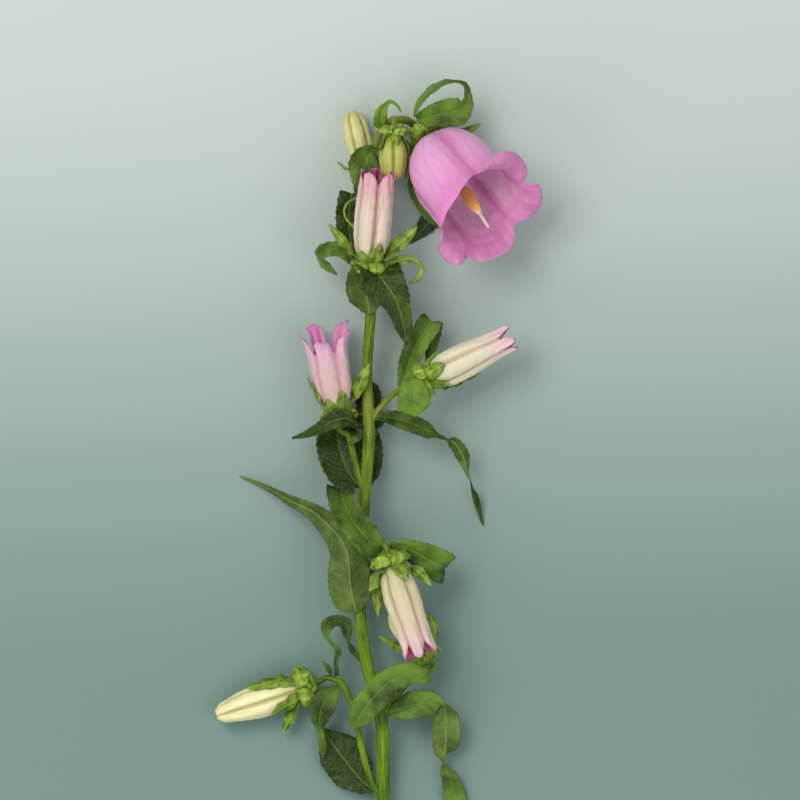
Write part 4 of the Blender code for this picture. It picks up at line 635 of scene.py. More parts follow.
def addCorolla(shape, flower, seed):
    look = petalShape
    columns, rows = look["bellColumns" if flower is flowers["bell"] else "columns"], look["rows"]
    angles = np.arange(columns) * 2 * np.pi / columns
    share = lobeShare(flower, angles)
    line = runLength(outline(flower))[-1]
    reach, bend = rimOf(flower, angles, share)
    rim = line + (look["rimEdge"] + reach if flower["lobe"] else 0 * reach)
    lengths = np.linspace(0, 1, rows + 1)[:, None] ** look["rowSpread"] * rim
    height, radius = outlineAt(flower, lengths, np.broadcast_to(bend, lengths.shape))
    rise = lengths / line
    grown = np.clip(lengths / look["pleatsFrom"], 0, 1)
    folded = np.exp(-((1 - abs(share)) / look["foldWidth"]) ** 2)
    folded = folded * np.clip(1.15 - look["foldFade"] * np.maximum(lengths - line, 0), 0, 1)
    creased = np.exp(-((abs(share) - look["creaseAt"]) / look["creaseWidth"]) ** 2)
    pleat = flower["pleat"] * (folded + look["creaseDepth"] * creased)
    pleated = 1 + grown * (flower["rib"] * np.cos(np.pi * share) - pleat)
    outer = around(flower, height, radius * pleated, angles)
    near = np.clip((lengths - line * look["ruffleFrom"]) / (line * look["ruffleOver"]), 0, 1.3)
    ripple = flower["ruffle"] * near**2 * np.sin(share * 7 + 1.3 * np.sin(angles * 3 + seed) + rise * 4)
    wrinkle = look["crinkle"] * smoothNoise(outer, look["crinkleSize"], seed) * grown
    outer = outer + ringNormals(outer) * (ripple + wrinkle)[..., None]
    values = {"spokeMm": radius * np.radians(share * lobeHalf), "strokeMm": lengths * look["strokeSquash"],
              "rise": rise, "fold": abs(share) * np.ones_like(rise), "rimMm": rim - lengths}
    if not flower["lobe"]:
        values["rimMm"] = values["rimMm"] + 3
        addRings(shape, outer, values, 0)
        return
    thin = look["rimThickness"]
    thick = thin + (look["thickness"] - thin) * np.clip((rim - lengths) / look["rimThins"], 0, 1)
    inner = outer - ringNormals(outer) * thick[..., None]
    start = int(np.searchsorted(lengths[:, 0], flower["floor"]))
    rings = np.concatenate([outer, inner[:start - 1:-1]])
    both = {name: np.concatenate([part, part[:start - 1:-1]]) for name, part in values.items()}
    addRings(shape, rings, both, (np.arange(len(rings) - 1) >= rows).astype(int))


# Fresh petal: thin watery tissue that light passes into, with a satin skin, fine veins along its
# length, greener tissue in its folds with painted shade darkening the creases, paler ridges and faint
# blotches.
petalLook = {
    "veins": 0.32, "grooveAndShadeAmount": 0.75, "ridges": 0.45, "lip": 0.5, "roughness": (0.41, 0.55), "specular": 0.35,
    "glow": 0.7, "lightSpread": (1.0, 0.6, 0.8), "lightDepth": 1.6, "relief": 0.06,
}


def petalMaterial(name, flower, tones):
    look = petalLook
    material, add, spot, spoke, stroke, rise, fold, rim = startMaterial(
        name, look, ("spokeMm", "strokeMm", "rise", "fold", "rimMm"))
    shader = material.node_tree.nodes["Principled BSDF"].inputs
    shader["Subsurface Radius"].default_value = look["lightSpread"]
    strokeAt = add("CombineXYZ", (spoke, stroke))
    streak, broad, uneven, skin = (
        add("TexNoise", {"Vector": at, "Scale": scale, "Detail": detail})
        for at, scale, detail in ((strokeAt, 1.1, 3), (strokeAt, 0.38, 2), (spot, 140, 4), (spot, 2000, 2)))
    climbed = add("Math", (uneven, 0.3, rise), operation="MULTIPLY_ADD")
    folded = add("Math", (streak, 0.3, fold), operation="MULTIPLY_ADD")
    lower, upper = (add("MapRange", (climbed, *span), interpolation_type="SMOOTHSTEP")
                    for span in ((0.17, 0.55), (0.83, 1.25)))
    # in the folds the groove colour is partly greener tissue and partly painted shade in the creases
    ageing, ridges, grooveAndShadeMask, veined, lip = (add("MapRange", sizes) for sizes in (
        (climbed, 0.35, 0.95), (broad, 0.5, 0.72, 0, look["ridges"]),
        (folded, 0.81, 1.13, 0, look["grooveAndShadeAmount"]), (streak, 0.54, 0.7, 0, look["veins"]),
        (rim, 0.1, 1.5, look["lip"], 0)))
    young, old = flower["grooveAndShade"]
    grooveAndShade = add("Mix", {0: ageing, 6: young, 7: old}, 2, data_type="RGBA")
    layers = ((lower, tones[1]), (upper, tones[2]), (ridges, flower["edgeTone"]), (grooveAndShadeMask, grooveAndShade),
              (veined, grooveAndShade), (lip, flower["rimTone"]))
    height = add("Math", (streak, 2.3, skin), operation="MULTIPLY_ADD")
    return finishMaterial(material, look, tones[0], layers, height, (broad, 0, 1))


for seed, (name, flower) in enumerate(flowers.items()):
    shape = Shape()
    addCorolla(shape, flower, seed)
    skins = [petalMaterial("fresh_petal_" + side + "_" + name, flower, flower[side])
             for side in ("outside", "inside") if side in flower]
    petals = shape.finished("petals_" + name, skins)
    fasten(petals, "bell_petal" if name == "bell" else "bud_petal", name + "_corolla")
print("stage: corollas made,", len(flowers))

# Calyx: a ribbed green ovary, a collar of puffed lobes turned back over it, and pointed sepals.
calyxShape = {
    "sepalThickness": 0.4, "sepalWave": 0.6, "sepalWaveLength": 5.5, "sepalColumns": 10, "sepalStep": 0.45,
    "sepalWidths": ((0, 0.3, 0.6, 0.85, 1), (0.64, 1, 0.85, 0.5, 0.1)),  # shares of the length, of the width
    "sepalRoot": (1.3, 0.7),                  # mm before the corolla and inside the ovary's radius
    "midrib": 0.18, "midribWidth": 0.4, "clearance": 0.45, "wayStep": 0.2,
    "frillReach": 2.6, "frillHalf": 3.9, "frillFor": 4.2,                # sizes for an ovary of that radius
    "frillWidths": ((0, 0.35, 0.7, 0.9, 1), (0.65, 0.95, 1.0, 0.75, 0.2)), "frillRows": 22,
    "frillColumns": 14, "frillPuff": 1.0, "frillTone": 0.6,
    "ribbonTilt": 20.0, "ribbonStep": 0.5, "ribbonCup": 0.25, "ribbonTone": 0.2,
    "ovaryColumns": 72, "ovaryRows": 31, "ovaryGap": 0.35, "ovaryRibs": 0.05, "bubble": 1.5,
    "bubbleSize": 4.5,
    "ovarySwell": ((0, 0.16, 0.4, 0.63, 0.8, 0.95, 1), (0.3, 0.68, 0.9, 0.95, 0.97, 0.92, 0.8)),
}


def sepalWay(flower, length, flare, curl):  # keeps off the corolla, then leaves it by its flare and curl
    look = calyxShape
    line = outline(flower)
    line[:, 1] *= 1 + flower["rib"]
    slope = unit(np.gradient(line, axis=0))
    outward = np.stack([-slope[:, 1], slope[:, 0]], axis=1)
    keepOff = look["clearance"] + look["sepalThickness"] / 2
    before, inside = look["sepalRoot"]
    spot = np.array([-before, flower["ovaryRadius"] - inside])
    way = [spot]
    gone = 0.0
    while gone < length + before:
        turn = np.radians(flare * min(1, gone / 3) + curl * max(0, gone - 0.35 * length))
        fresh = spot + look["wayStep"] * np.array([np.cos(turn), np.sin(turn)])
        if fresh[0] > -0.5:
            nearest = np.argmin(np.linalg.norm(line - fresh, axis=1))
            height = np.dot(fresh - line[nearest], outward[nearest])
            if height < keepOff and nearest < len(line) - 1:
                fresh = fresh + outward[nearest] * (keepOff - height)
        gone += max(np.linalg.norm(fresh - spot), 0.04)
        spot = fresh
        way.append(spot)
    return np.array(way)


def addSepal(shape, flower, seed, angle, length, halfWidth, flare, curl, twist=0):
    look = calyxShape
    way = sepalWay(flower, length, flare, curl)[::4]
    rows = int(length / look["sepalStep"]) + 6
    keys, places = evenPlaces(way, rows)
    middle = follow(keys, way, places)
    share = np.linspace(0, 1, rows + 1)[:, None]
    half = halfWidth * follow(*look["sepalWidths"], share[:, 0])
    across = np.linspace(-1, 1, look["sepalColumns"] + 1)
    bend = across * half / np.maximum(middle[:, 1:], 1.5)
    aside = middle[:, 1:] * np.sin(bend)
    inward = middle[:, 1:] * (1 - np.cos(bend))
    left, right = np.random.default_rng(seed).uniform(0, 6.28, 2)
    wave = np.sin(share * length * 2 * np.pi / look["sepalWaveLength"] + np.where(across < 0, left, right))
    inward = inward - look["sepalWave"] * wave * across**2 * np.clip(share * 3, 0, 1) * half / halfWidth
    turned = np.radians(twist) * np.clip((share - 0.2) / 0.4, 0, 1)
    forward = unit(np.gradient(middle, axis=0))
    out = aside * np.sin(turned) - inward * np.cos(turned)
    aside = aside * np.cos(turned) + inward * np.sin(turned)
    height = middle[:, :1] - forward[:, 1:] * out
    radius = middle[:, 1:] + forward[:, :1] * out
    addBlade(shape, inFlower(flower, angle, height, radius, aside), across, half, 0.0)


def addBlade(shape, points, across, half, shade):
    look = calyxShape
    points[..., 2] = np.maximum(points[..., 2], look["sepalThickness"] / 2)
    outward = sheetNormals(points)
    outMm = across * half
    rib = look["midrib"] * np.exp(-(outMm / look["midribWidth"]) ** 2)
    thin = look["sepalThickness"] * (1 - 0.5 * abs(across) ** 4) * np.ones_like(half)
    top = points + outward * (thin / 2 + rib)[..., None]
    bottom = points - outward * (thin / 2)[..., None]
    values = {"ribMm": abs(outMm), "edge": abs(across) * np.ones_like(half), "toneAndShade": shade}
    addSheet(shape, top, bottom, values, (0, 0))


def addFrill(shape, flower, angle, seed):  # one puffed lobe of the collar, turned back over the ovary
    look = calyxShape
    size, depth = flower["ovaryRadius"], flower["ovary"]
    reach = look["frillReach"] * size / look["frillFor"] * flower.get("frill", 1)
    table = np.array([  # height along the axis and radius, out over the edge and back along the ovary
        (-0.6, size - 0.7), (0.1, size + 0.3), (0.15, size + 0.55 * reach), (-0.5, size + reach),
        (-0.4 * depth, size + reach), (-0.75 * depth, size + 0.6 * reach)])
    keys, places = evenPlaces(table, look["frillRows"])
    middle = follow(keys, table, places)
    share = np.linspace(0, 1, look["frillRows"] + 1)[:, None]
    half = look["frillHalf"] * size / look["frillFor"] * follow(*look["frillWidths"], share[:, 0])
    across = np.linspace(-1, 1, look["frillColumns"] + 1)
    start = np.random.default_rng(seed).uniform(0, 3.14, 2)
    blister = abs(np.sin(across * 3.6 + start[0] + 1.5 * share) * np.sin(share * 6.5 + start[1])) ** 0.6
    out = look["frillPuff"] * (1.8 * blister - 0.6) * np.clip(share * 2.5, 0, 1)
    bend = across * half / np.maximum(middle[:, 1:], 1.5)
    forward = unit(np.gradient(middle, axis=0))
    height = middle[:, :1] - forward[:, 1:] * out
    radius = middle[:, 1:] * np.cos(bend) + forward[:, :1] * out
    points = inFlower(flower, angle, height, radius, middle[:, 1:] * np.sin(bend))
    addBlade(shape, points, across, half, look["frillTone"])


def addRibbon(shape, stations):  # a sepal that curls by its own stations, laid out like a leaf's
    look = calyxShape
    table = np.array(stations, float)
    tilt = np.full(len(table), look["ribbonTilt"])
    spine, half, side, normal = bladeFrame(table, tilt, look["ribbonStep"])
    across = np.linspace(-1, 1, look["sepalColumns"] + 1)
    cupped = look["ribbonCup"] * half * across**2
    points = spine + side * (across * half)[..., None] + normal * cupped[..., None]
    addBlade(shape, points, across, half, look["ribbonTone"])


def addOvary(shape, flower, seed):
    look = calyxShape
    columns, gap = look["ovaryColumns"], look["ovaryGap"]
    angles = np.arange(columns) * 2 * np.pi / columns
    share = np.linspace(0, 1, look["ovaryRows"] + 1)
    height = -gap - (flower["ovary"] - gap) * (1 - share[:, None]) * np.ones(columns)
    swell = flower["ovaryRadius"] * follow(*look["ovarySwell"], share)
    rings = around(flower, height, swell * (1 + look["ovaryRibs"] * np.cos(2 * lobes * angles)), angles)
    bubbles = look["bubble"] * abs(smoothNoise(rings, look["bubbleSize"], seed)) ** 0.7
    bubbles = bubbles * np.sin(np.pi * share[:, None]) ** 0.5
    rings = rings + ringNormals(rings) * bubbles[..., None]
    # painted light and shade: lighter on the tops of the bubbles, darker in the hollows between them
    addRings(shape, rings, {"ribMm": 1.0, "edge": 0.4, "toneAndShade": 0.5 * bubbles - 0.3}, 0)


# Calyx tissue: soft, hairy yellow-green skin, lighter on the puffed collar, with a paler midrib. On the
# ovary
# light and shade are painted: lighter on the tops of its bubbles, darker in the hollows between them.
calyxLook = {
    "dark": "#3E5C0E", "light": "#96B440", "vein": "#C6D67C", "rim": "#5A6A20", "midVein": 0.28,
    "worn": 0.4, "roughness": (0.4, 0.6), "specular": 0.25, "glow": 0.2, "lightDepth": 0.8, "relief": 0.16,
}


def calyxMaterial():
    look = calyxLook
    material, add, spot, rib, edge, toneAndShade = startMaterial("calyx_skin", look, ("ribMm", "edge", "toneAndShade"))
    mottle, skin = (add("TexNoise", {"Vector": spot, "Scale": scale, "Detail": detail, "Distortion": twist})
                    for scale, detail, twist in ((330, 4, 0.3), (1600, 3, 0)))
    shaded = add("Math", (toneAndShade, 0.25, mottle), operation="MULTIPLY_ADD")
    lightness = add("MapRange", (shaded, 0.24, 0.82), interpolation_type="SMOOTHSTEP")
    midVein = add("MapRange", (rib, 0.1, 0.5, look["midVein"], 0))
    worn = add("MapRange", (edge, 0.85, 1, 0, look["worn"]))
    layers = ((lightness, look["light"]), (midVein, look["vein"]), (worn, look["rim"]))
    return finishMaterial(material, look, look["dark"], layers, skin, (mottle, 0, 1))


calyxSkin = calyxMaterial()
coat = Shape()  # all calyces together, for their hairs
for seed, (name, flower) in enumerate(flowers.items()):
    shape = Shape()
    for target in (shape, coat):
        addOvary(target, flower, seed)
        for number in range(lobes):
            angle = flower.get("frillTurn", lobeHalf) + 2 * lobeHalf * number
            addFrill(target, flower, angle, 10 * seed + number)
        for number, sizes in enumerate(flower["sepals"]):
            addSepal(target, flower, 100 + 10 * seed + number, *sizes)
        for stations in flower.get("ribbons", []):
            addRibbon(target, stations)
    fasten(shape.finished("sepals_" + name, [calyxSkin]), "calyx", name + "_calyx")
print("stage: calyces made,", len(flowers))

# Style: a stalk that widens to a club covered in orange pollen, with a thin greyish-white tip.
styleLook = {
    "rings": [(2.35, 1.2), (10, 0.8), (20, 0.7), (28, 0.8), (30, 1.7), (33, 2.2), (38, 2.0), (42, 1.3),
              (43.5, 0.65), (48, 0.65), (51, 0.5)],
    "droop": (-1.4, -2.1, -1.0), "sides": 28, "rows": 110, "clubFrom": 29.0, "clubTo": 42.5,
    "bumps": 0.16, "bumpSize": 1.1, "bumpsFrom": 28, "bumpsTo": 43,
    "pollen": "#FFC47A", "pollenDark": "#FFA858", "tip": "#D9D2C8", "stalk": "#C9B98F",
    "roughness": (0.65, 0.85), "specular": 0.25, "glow": 0.3, "lightDepth": 0.6, "relief": 0.2,
}


def styleMaterial():
    look = styleLook
    material, add, spot, place = startMaterial("pollen_covered_style", look, ("alongMm",))
    wander, dust = (add("TexNoise", {"Vector": spot, "Scale": scale, "Detail": 3}) for scale in (800, 1700))
    along = add("Math", (wander, 2.0, place), operation="MULTIPLY_ADD")
    dusted, onClub, onTip = (add("MapRange", sizes) for sizes in (
        (dust, 0.35, 0.65), (along, look["clubFrom"], look["clubFrom"] + 1.2),
        (along, look["clubTo"] + 0.2, look["clubTo"] + 1.8)))
    pollen = add("Mix", {0: dusted, 6: look["pollenDark"], 7: look["pollen"]}, 2, data_type="RGBA")
    layers = ((onClub, pollen), (onTip, look["tip"]))
    return finishMaterial(material, look, look["stalk"], layers, dust, (dust, 0, 1))


def addStyle(shape):
    look = styleLook
    table = np.array(look["rings"])
    heights = np.linspace(table[0, 0], table[-1, 0], look["rows"] + 1)[:, None]
    radii = follow(table[:, 0], table[:, 1], heights[:, 0], limited=True)
    angles = np.arange(look["sides"]) * 2 * np.pi / look["sides"]
    level = np.ones(look["sides"])
    rings = around(flowers["bell"], heights * level, radii * level, angles)
    rings += (heights / heights[-1])[..., None] ** 2 * np.array(look["droop"])
    onClub = np.clip((heights - look["bumpsFrom"]) / 2, 0, 1)
    onClub = onClub * np.clip((look["bumpsTo"] - heights) / 1.5, 0, 1)
    bumpy = look["bumps"] * smoothNoise(rings, look["bumpSize"], 5) * onClub
    rings = rings + ringNormals(rings) * bumpy[..., None]
    addRings(shape, rings, {"alongMm": heights}, 0)


shape = Shape()
addStyle(shape)
stylePiece = shape.finished("style_with_pollen", [styleMaterial()])
fasten(stylePiece, "style", "bell_style")
print("stage: style made")

# Stem: the main stem, the lower shoot and the flower stalks as paths of x, y, z and radius.
stemPaths = {
    "main": [
        (-6.8, -186, 2.4, 2.6), (-6.3, -165, 4.2, 2.55), (-6.3, -150, 6, 2.5), (-6.3, -135, 8, 2.45),
        (-6.6, -122, 10, 2.45), (-8.3, -112, 11.2, 2.35), (-11.5, -102, 12.2, 2.3), (-13.5, -92, 13, 2.25),
        (-14.9, -80, 13.8, 2.2), (-15.2, -66, 14.5, 2.2), (-14.5, -52, 15, 2.2), (-13.5, -40, 15.4, 2.2),
        (-12.6, -28, 15.8, 2.2), (-11.6, -14, 16.2, 2.15), (-11.9, -2, 16.5, 2.05), (-12.4, 10, 16.7, 1.95),
        (-11.7, 22, 16.8, 1.9), (-11, 32, 16.8, 1.9), (-10.9, 45, 16, 1.8), (-11.2, 60, 15, 1.7),
        (-11.5, 75, 14, 1.6), (-10.8, 88, 13.2, 1.55), (-9, 96, 12.8, 1.5), (-6, 101.8, 12.4, 1.5),
        (-2, 104.2, 12, 1.5), (2, 104.8, 10, 1.45), (4.8, 103.4, 7.2, 1.4)],
    "shoot": [
        (-7, -149, 6.2, 1.4), (-9.8, -144.5, 6.8, 1.3), (-12.3, -138, 7.5, 1.2), (-14.2, -130.5, 8.2, 1.15),
        (-15.9, -123, 8.8, 1.1), (-18, -114, 9.4, 1.1), (-20.6, -108, 9.8, 1.1), (-22.8, -104.5, 10.2, 1.2)],
    "bud_right": [(-11, -7.5, 16.3, 1.2), (-8.3, -4, 17.2, 1.1), (-4, 0.8, 18.5, 1.05), (0.5, 4, 19.8, 1.0)],
    "bud_left": [(-13.2, -34, 15.2, 1.2), (-14.6, -31, 16, 1.15), (-16.2, -25, 16.6, 1.1),
                 (-18, -18, 16.6, 1.05), (-19.8, -12.5, 16.2, 1.05)],
    "bud_upright": [(-10.9, 39.5, 16.2, 1.3), (-11.3, 42.5, 18.4, 1.2)],
    "bud_small_green": [(-5.2, 102.3, 12.3, 1.2), (-3.9, 103.8, 15, 1.05)],
    "bud_top_left": [(-11.4, 78, 13.8, 1.2), (-11.6, 78.8, 10, 1.0)],
    "bud_drooping": [(-15.2, -76, 14, 1.3), (-12.6, -70, 15.2, 1.15), (-10.6, -63, 16.8, 1.1),
                     (-8.8, -58, 18.8, 1.1), (-7.2, -55.2, 21.2, 1.1)],
    "bud_lower_left": [(-21.8, -106, 10, 1.1), (-24.6, -104.6, 10.4, 1.0), (-28, -104, 10, 0.95)],
    "bud_behind": [(-6.9, -119.5, 10.3, 1.5), (-4.3, -114.5, 11, 1.25), (0, -109, 12, 1.2),
                   (4, -104, 12.3, 1.15), (7, -100.8, 12, 1.1), (9.4, -101.3, 11.6, 1.05)],
}
stemLook = {
    "step": 0.9, "sides": 20, "ridges": 6, "ridgeHeight": 0.06, "intoOvary": 0.6, "bellEndRadius": 1.4,
    "lead": 2.75,            # mm of straight stalk before each flower
    "dark": "#345200", "light": "#749A14", "blush": "#84703E", "roughness": (0.38, 0.58), "specular": 0.2,
    "glow": 0.15, "lightDepth": 1.0, "relief": 0.06,
}


def stemLine(name, points):
    points = list(points)
    if name != "shoot":
        flower = flowers["bell" if name == "main" else name]
        base, axis = flowerFrame(flower)[:2]
        size = stemLook["bellEndRadius"] if name == "main" else points[-1][3]
        end = base - axis * (flower["ovary"] - stemLook["intoOvary"])
        points += [(*(end - axis * stemLook["lead"]), size), (*end, size)]
    table = np.array(points, float)
    keys, places = evenPlaces(table[:, :3], max(6, int(runLength(table[:, :3])[-1] / stemLook["step"])))
    return follow(keys, table[:, :3], places), follow(keys, table[:, 3], places, limited=True)[:, 0]


def startTree(name, entries, result):  # each entry: kind of socket, its label and what it starts from
    tree = bpy.data.node_groups.new(name, "GeometryNodeTree")
    for kind, label, start in entries:
        tree.interface.new_socket(label, in_out="INPUT", socket_type="NodeSocket" + kind)
        if start is not None:
            tree.interface.items_tree[label].default_value = start
    tree.interface.new_socket(result, in_out="OUTPUT", socket_type="NodeSocketGeometry")
    return tree, partial(addNode, tree), addNode(tree, "NodeGroupInput").node.outputs


def finishTree(tree, geometry, material, result):
    solid = addNode(tree, "GeometryNodeRealizeInstances", {"Geometry": geometry})
    finish = addNode(tree, "GeometryNodeSetMaterial", {"Geometry": solid, "Material": material})
    addNode(tree, "NodeGroupOutput", {result: finish})
    return tree


def grown(source, tree, inputs, name):  # runs the tree on the source and returns the result as a plain mesh
    modifier = source.modifiers.new("grow", "NODES")
    modifier.node_group = tree
    for label, setting in inputs.items():
        modifier[tree.interface.items_tree[label].identifier] = setting
    mesh = bpy.data.meshes.new_from_object(source.evaluated_get(bpy.context.evaluated_depsgraph_get()))
    mesh.name = name
    source.modifiers.remove(modifier)
    return shown(name, mesh)


def onSurface(piece):  # lifts what would reach below the surface that the spike lies on
    spots = np.zeros(len(piece.data.vertices) * 3, np.float32)
    piece.data.vertices.foreach_get("co", spots)
    spots[2::3] = np.maximum(spots[2::3], 0)
    piece.data.vertices.foreach_set("co", spots)


def stemTree(material):
    tree, add, entry = startTree("stemFromPaths", (
        ("Geometry", "Paths", None), ("Int", "Sides", 16), ("Float", "Ridge Height", 0.0001)), "Stem")
    radius, share = (add("GeometryNodeInputNamedAttribute", {"Name": name}, data_type="FLOAT")
                     for name in ("stalkRadius", "turnShare"))
    length, turn = (add("GeometryNodeSplineParameter", output=output) for output in ("Length", "Factor"))
    curve = add("GeometryNodeMeshToCurve", {"Mesh": entry["Paths"]})
    ring = add("GeometryNodeCurvePrimitiveCircle", {"Resolution": entry["Sides"], "Radius": 1.0})
    marked, ringed = (
        add("GeometryNodeStoreNamedAttribute", {"Geometry": line, "Name": name, "Value": value},
            data_type="FLOAT", domain="POINT")
        for line, name, value in ((curve, "alongM", length), (ring, "turnShare", turn)))
    skin = add("GeometryNodeCurveToMesh",
               {"Curve": marked, "Profile Curve": ringed, "Scale": radius, "Fill Caps": True})
    angle = add("Math", (share, 2 * np.pi * stemLook["ridges"]), operation="MULTIPLY")
    ridge = add("Math", (angle,), operation="SINE")
    lumps = add("TexNoise", {"Scale": 180.0, "Detail": 2.0})
    sway = add("Math", (lumps, 2.0, ridge), operation="MULTIPLY_ADD")
    amount = add("Math", (sway, entry["Ridge Height"]), operation="MULTIPLY")
    normal = add("GeometryNodeInputNormal")
    offset = add("VectorMath", {"Vector": normal, "Scale": amount}, operation="SCALE")
    moved = add("GeometryNodeSetPosition", {"Geometry": skin, "Offset": offset})
    smooth = add("GeometryNodeSetShadeSmooth", {"Geometry": moved})
    return finishTree(tree, smooth, material, "Stem")


# Stem skin: firm green bark with fine lengthwise ribs, a slight shine and a brownish blush.
def stemMaterial():
    look = stemLook
    material, add, spot, along, turn = startMaterial("herbaceous_stem_skin", look, ("alongM", "turnShare"))
    strokeAt = add("CombineXYZ", (turn, along))
    stretched = add("VectorMath", (strokeAt, (14, 70, 1)), operation="MULTIPLY")
    streak, patch, skin = (
        add("TexNoise", {"Vector": at, "Scale": scale, "Detail": detail})
        for at, scale, detail in ((stretched, 1.1, 3), (spot, 50, 3), (spot, 2000, 2)))
    both = add("Math", (streak, patch), operation="ADD")
    lightness = add("MapRange", (both, 0.72, 1.28), interpolation_type="SMOOTHSTEP")
    high = add("SeparateXYZ", (spot,), "Y")
    upper = add("MapRange", (high, -0.06, 0.08, 0.1, 0.6))
    blotch = add("MapRange", (patch, 0.4, 0.65))
    blush = add("Math", (blotch, upper), operation="MULTIPLY")
    height = add("Math", (streak, 2.3, skin), operation="MULTIPLY_ADD")
    layers = ((lightness, look["light"]), (blush, look["blush"]))
    return finishMaterial(material, look, look["dark"], layers, height, (streak, 0, 1))


# Cut stem end: moist pale pith inside a darker green ring, fresh and slightly shiny.
pithLook = {
    "middle": "#D9DFB4", "ring": "#5F7F22", "ringFrom": 0.6, "ringTo": 1.05,  # shares of the radius
    "unevenness": 0.4, "roughness": 0.35, "specular": 0.4, "glow": 0.3, "lightDepth": 1.0, "relief": 0.1,
}


def pithMaterial():
    look = pithLook
    material, add, spot = startMaterial("cut_stem_pith", look)
    x, y, z, radius = stemPaths["main"][0]
    middle = tuple(part * millimetre for part in (x - spikeCentre[0], y - spikeCentre[1], z))
    away = add("VectorMath", (spot, middle), "Value", operation="DISTANCE")
    grain = add("TexNoise", {"Vector": spot, "Scale": 1400, "Detail": 2})
    edge = add("Math", (grain, look["unevenness"] * millimetre, away), operation="MULTIPLY_ADD")
    ring = add("MapRange", (edge, *(look[end] * radius * millimetre for end in ("ringFrom", "ringTo"))))
    return finishMaterial(material, look, look["middle"], ((ring, look["ring"]),), grain)


pathPoints, pathRadii, pathEdges = [], [], []
for name, points in stemPaths.items():
    spine, radii = stemLine(name, points)
    first = len(pathPoints)
    spine[:, :2] -= spikeCentre
    pathPoints += (spine * millimetre).tolist()
    pathRadii += (radii * millimetre).tolist()
    pathEdges += [(first + step, first + step + 1) for step in range(len(spine) - 1)]
pathMesh = bpy.data.meshes.new("stem_paths")
pathMesh.from_pydata(pathPoints, pathEdges, [])
stalkRadius = pathMesh.attributes.new("stalkRadius", "FLOAT", "POINT")
stalkRadius.data.foreach_set("value", np.array(pathRadii, np.float32))
pathObject = shown("stem_paths", pathMesh)
stemSize = {"Sides": stemLook["sides"], "Ridge Height": stemLook["ridgeHeight"] * millimetre}
stemPiece = grown(pathObject, stemTree(stemMaterial()), stemSize, "stem_and_stalks")
bpy.data.objects.remove(pathObject)
onSurface(stemPiece)
stemPiece.data.materials.append(pithMaterial())
for face in stemPiece.data.polygons:
    if len(face.vertices) > 4:  # the flat ends
        face.material_index = 1
        face.use_smooth = False
fasten(stemPiece, "stem", "stem")
print("stage: stem made,", len(stemPiece.data.polygons), "faces")

# Hairs: short pale bristles on the stem and calyces, each a slim three-sided spike.
hairLook = {
    "stemPerMm2": 0.6, "calyxPerMm2": 0.35, "length": 0.9, "thickness": 0.035, "tip": 0.004, "lean": 0.5,
    "colour": "#CBD8A4", "pale": "#EAF0D0", "roughness": 0.4, "specular": 0.5, "glow": 0.3,
    "lightDepth": 0.5,
}


def hairTree(material):
    tree, add, entry = startTree("bristlesOnSkin", (
        ("Geometry", "Skin", None), ("Float", "Density", 100000.0), ("Float", "Length", 0.001),
        ("Float", "Thickness", 0.00003), ("Float", "Lean", 0.5), ("Int", "Seed", 4)), "Bristles")
    spread = add("GeometryNodeDistributePointsOnFaces",
                 {"Mesh": entry["Skin"], "Density": entry["Density"], "Seed": entry["Seed"]}).node.outputs
    away = add("FunctionNodeRandomValue", {"Min": (-1, -1, -1), "Max": (1, 1, 1), "Seed": 7}, "Value",
               data_type="FLOAT_VECTOR")
    leaned = add("VectorMath", {"Vector": away, "Scale": entry["Lean"]}, operation="SCALE")
    way = add("VectorMath", (leaned, spread["Normal"]), operation="ADD")
    turned = add("FunctionNodeAlignRotationToVector", {"Vector": way}, axis="Z")
    spike = add("GeometryNodeMeshCone",
                {"Vertices": 3, "Side Segments": 2, "Radius Top": hairLook["tip"] * millimetre,
                 "Radius Bottom": entry["Thickness"], "Depth": entry["Length"]}, fill_type="NONE")
    size = add("FunctionNodeRandomValue", {2: 0.4, 3: 1.1, "Seed": 9}, 1, data_type="FLOAT")
    planted = add("GeometryNodeInstanceOnPoints",
                  {"Points": spread["Points"], "Instance": spike, "Rotation": turned, "Scale": size})
    return finishTree(tree, planted, material, "Bristles")


# Plant hair: clear, thin-walled bristles that catch the light, drawn a little thicker than the real
# ones so that they show.
def hairMaterial():
    material, add, spot = startMaterial("plant_hair", hairLook)
    patch = add("TexNoise", {"Vector": spot, "Scale": 330, "Detail": 2})
    return finishMaterial(material, hairLook, hairLook["colour"], ((patch, hairLook["pale"]),))


bristles = hairTree(hairMaterial())
coatPiece = coat.finished("calyx_coat", [calyxSkin])
hairSize = {"Length": hairLook["length"] * millimetre, "Thickness": hairLook["thickness"] * millimetre,
            "Lean": hairLook["lean"], "Seed": 4}
for bearer, slot, perMm2 in ((stemPiece, "stem", "stemPerMm2"), (coatPiece, "calyx", "calyxPerMm2")):
    density = hairLook[perMm2] * perSquareMetre
    hairs = grown(bearer, bristles, {"Density": density, **hairSize}, "bristles_" + slot)
    onSurface(hairs)
    fasten(hairs, slot)
    print("stage: hairs made on the", slot, len(hairs.data.polygons), "faces")
bpy.data.objects.remove(coatPiece)

# Pollen: loose round grains that cling to the club of the style.
pollenLook = {
    "perMm2": 3.0, "radius": 0.13, "from": 29.5, "to": 42.0, "dark": "#FFAC5A", "light": "#FFD08C",
    "roughness": 0.7, "specular": 0.3, "glow": 0.4, "lightDepth": 0.3,
}


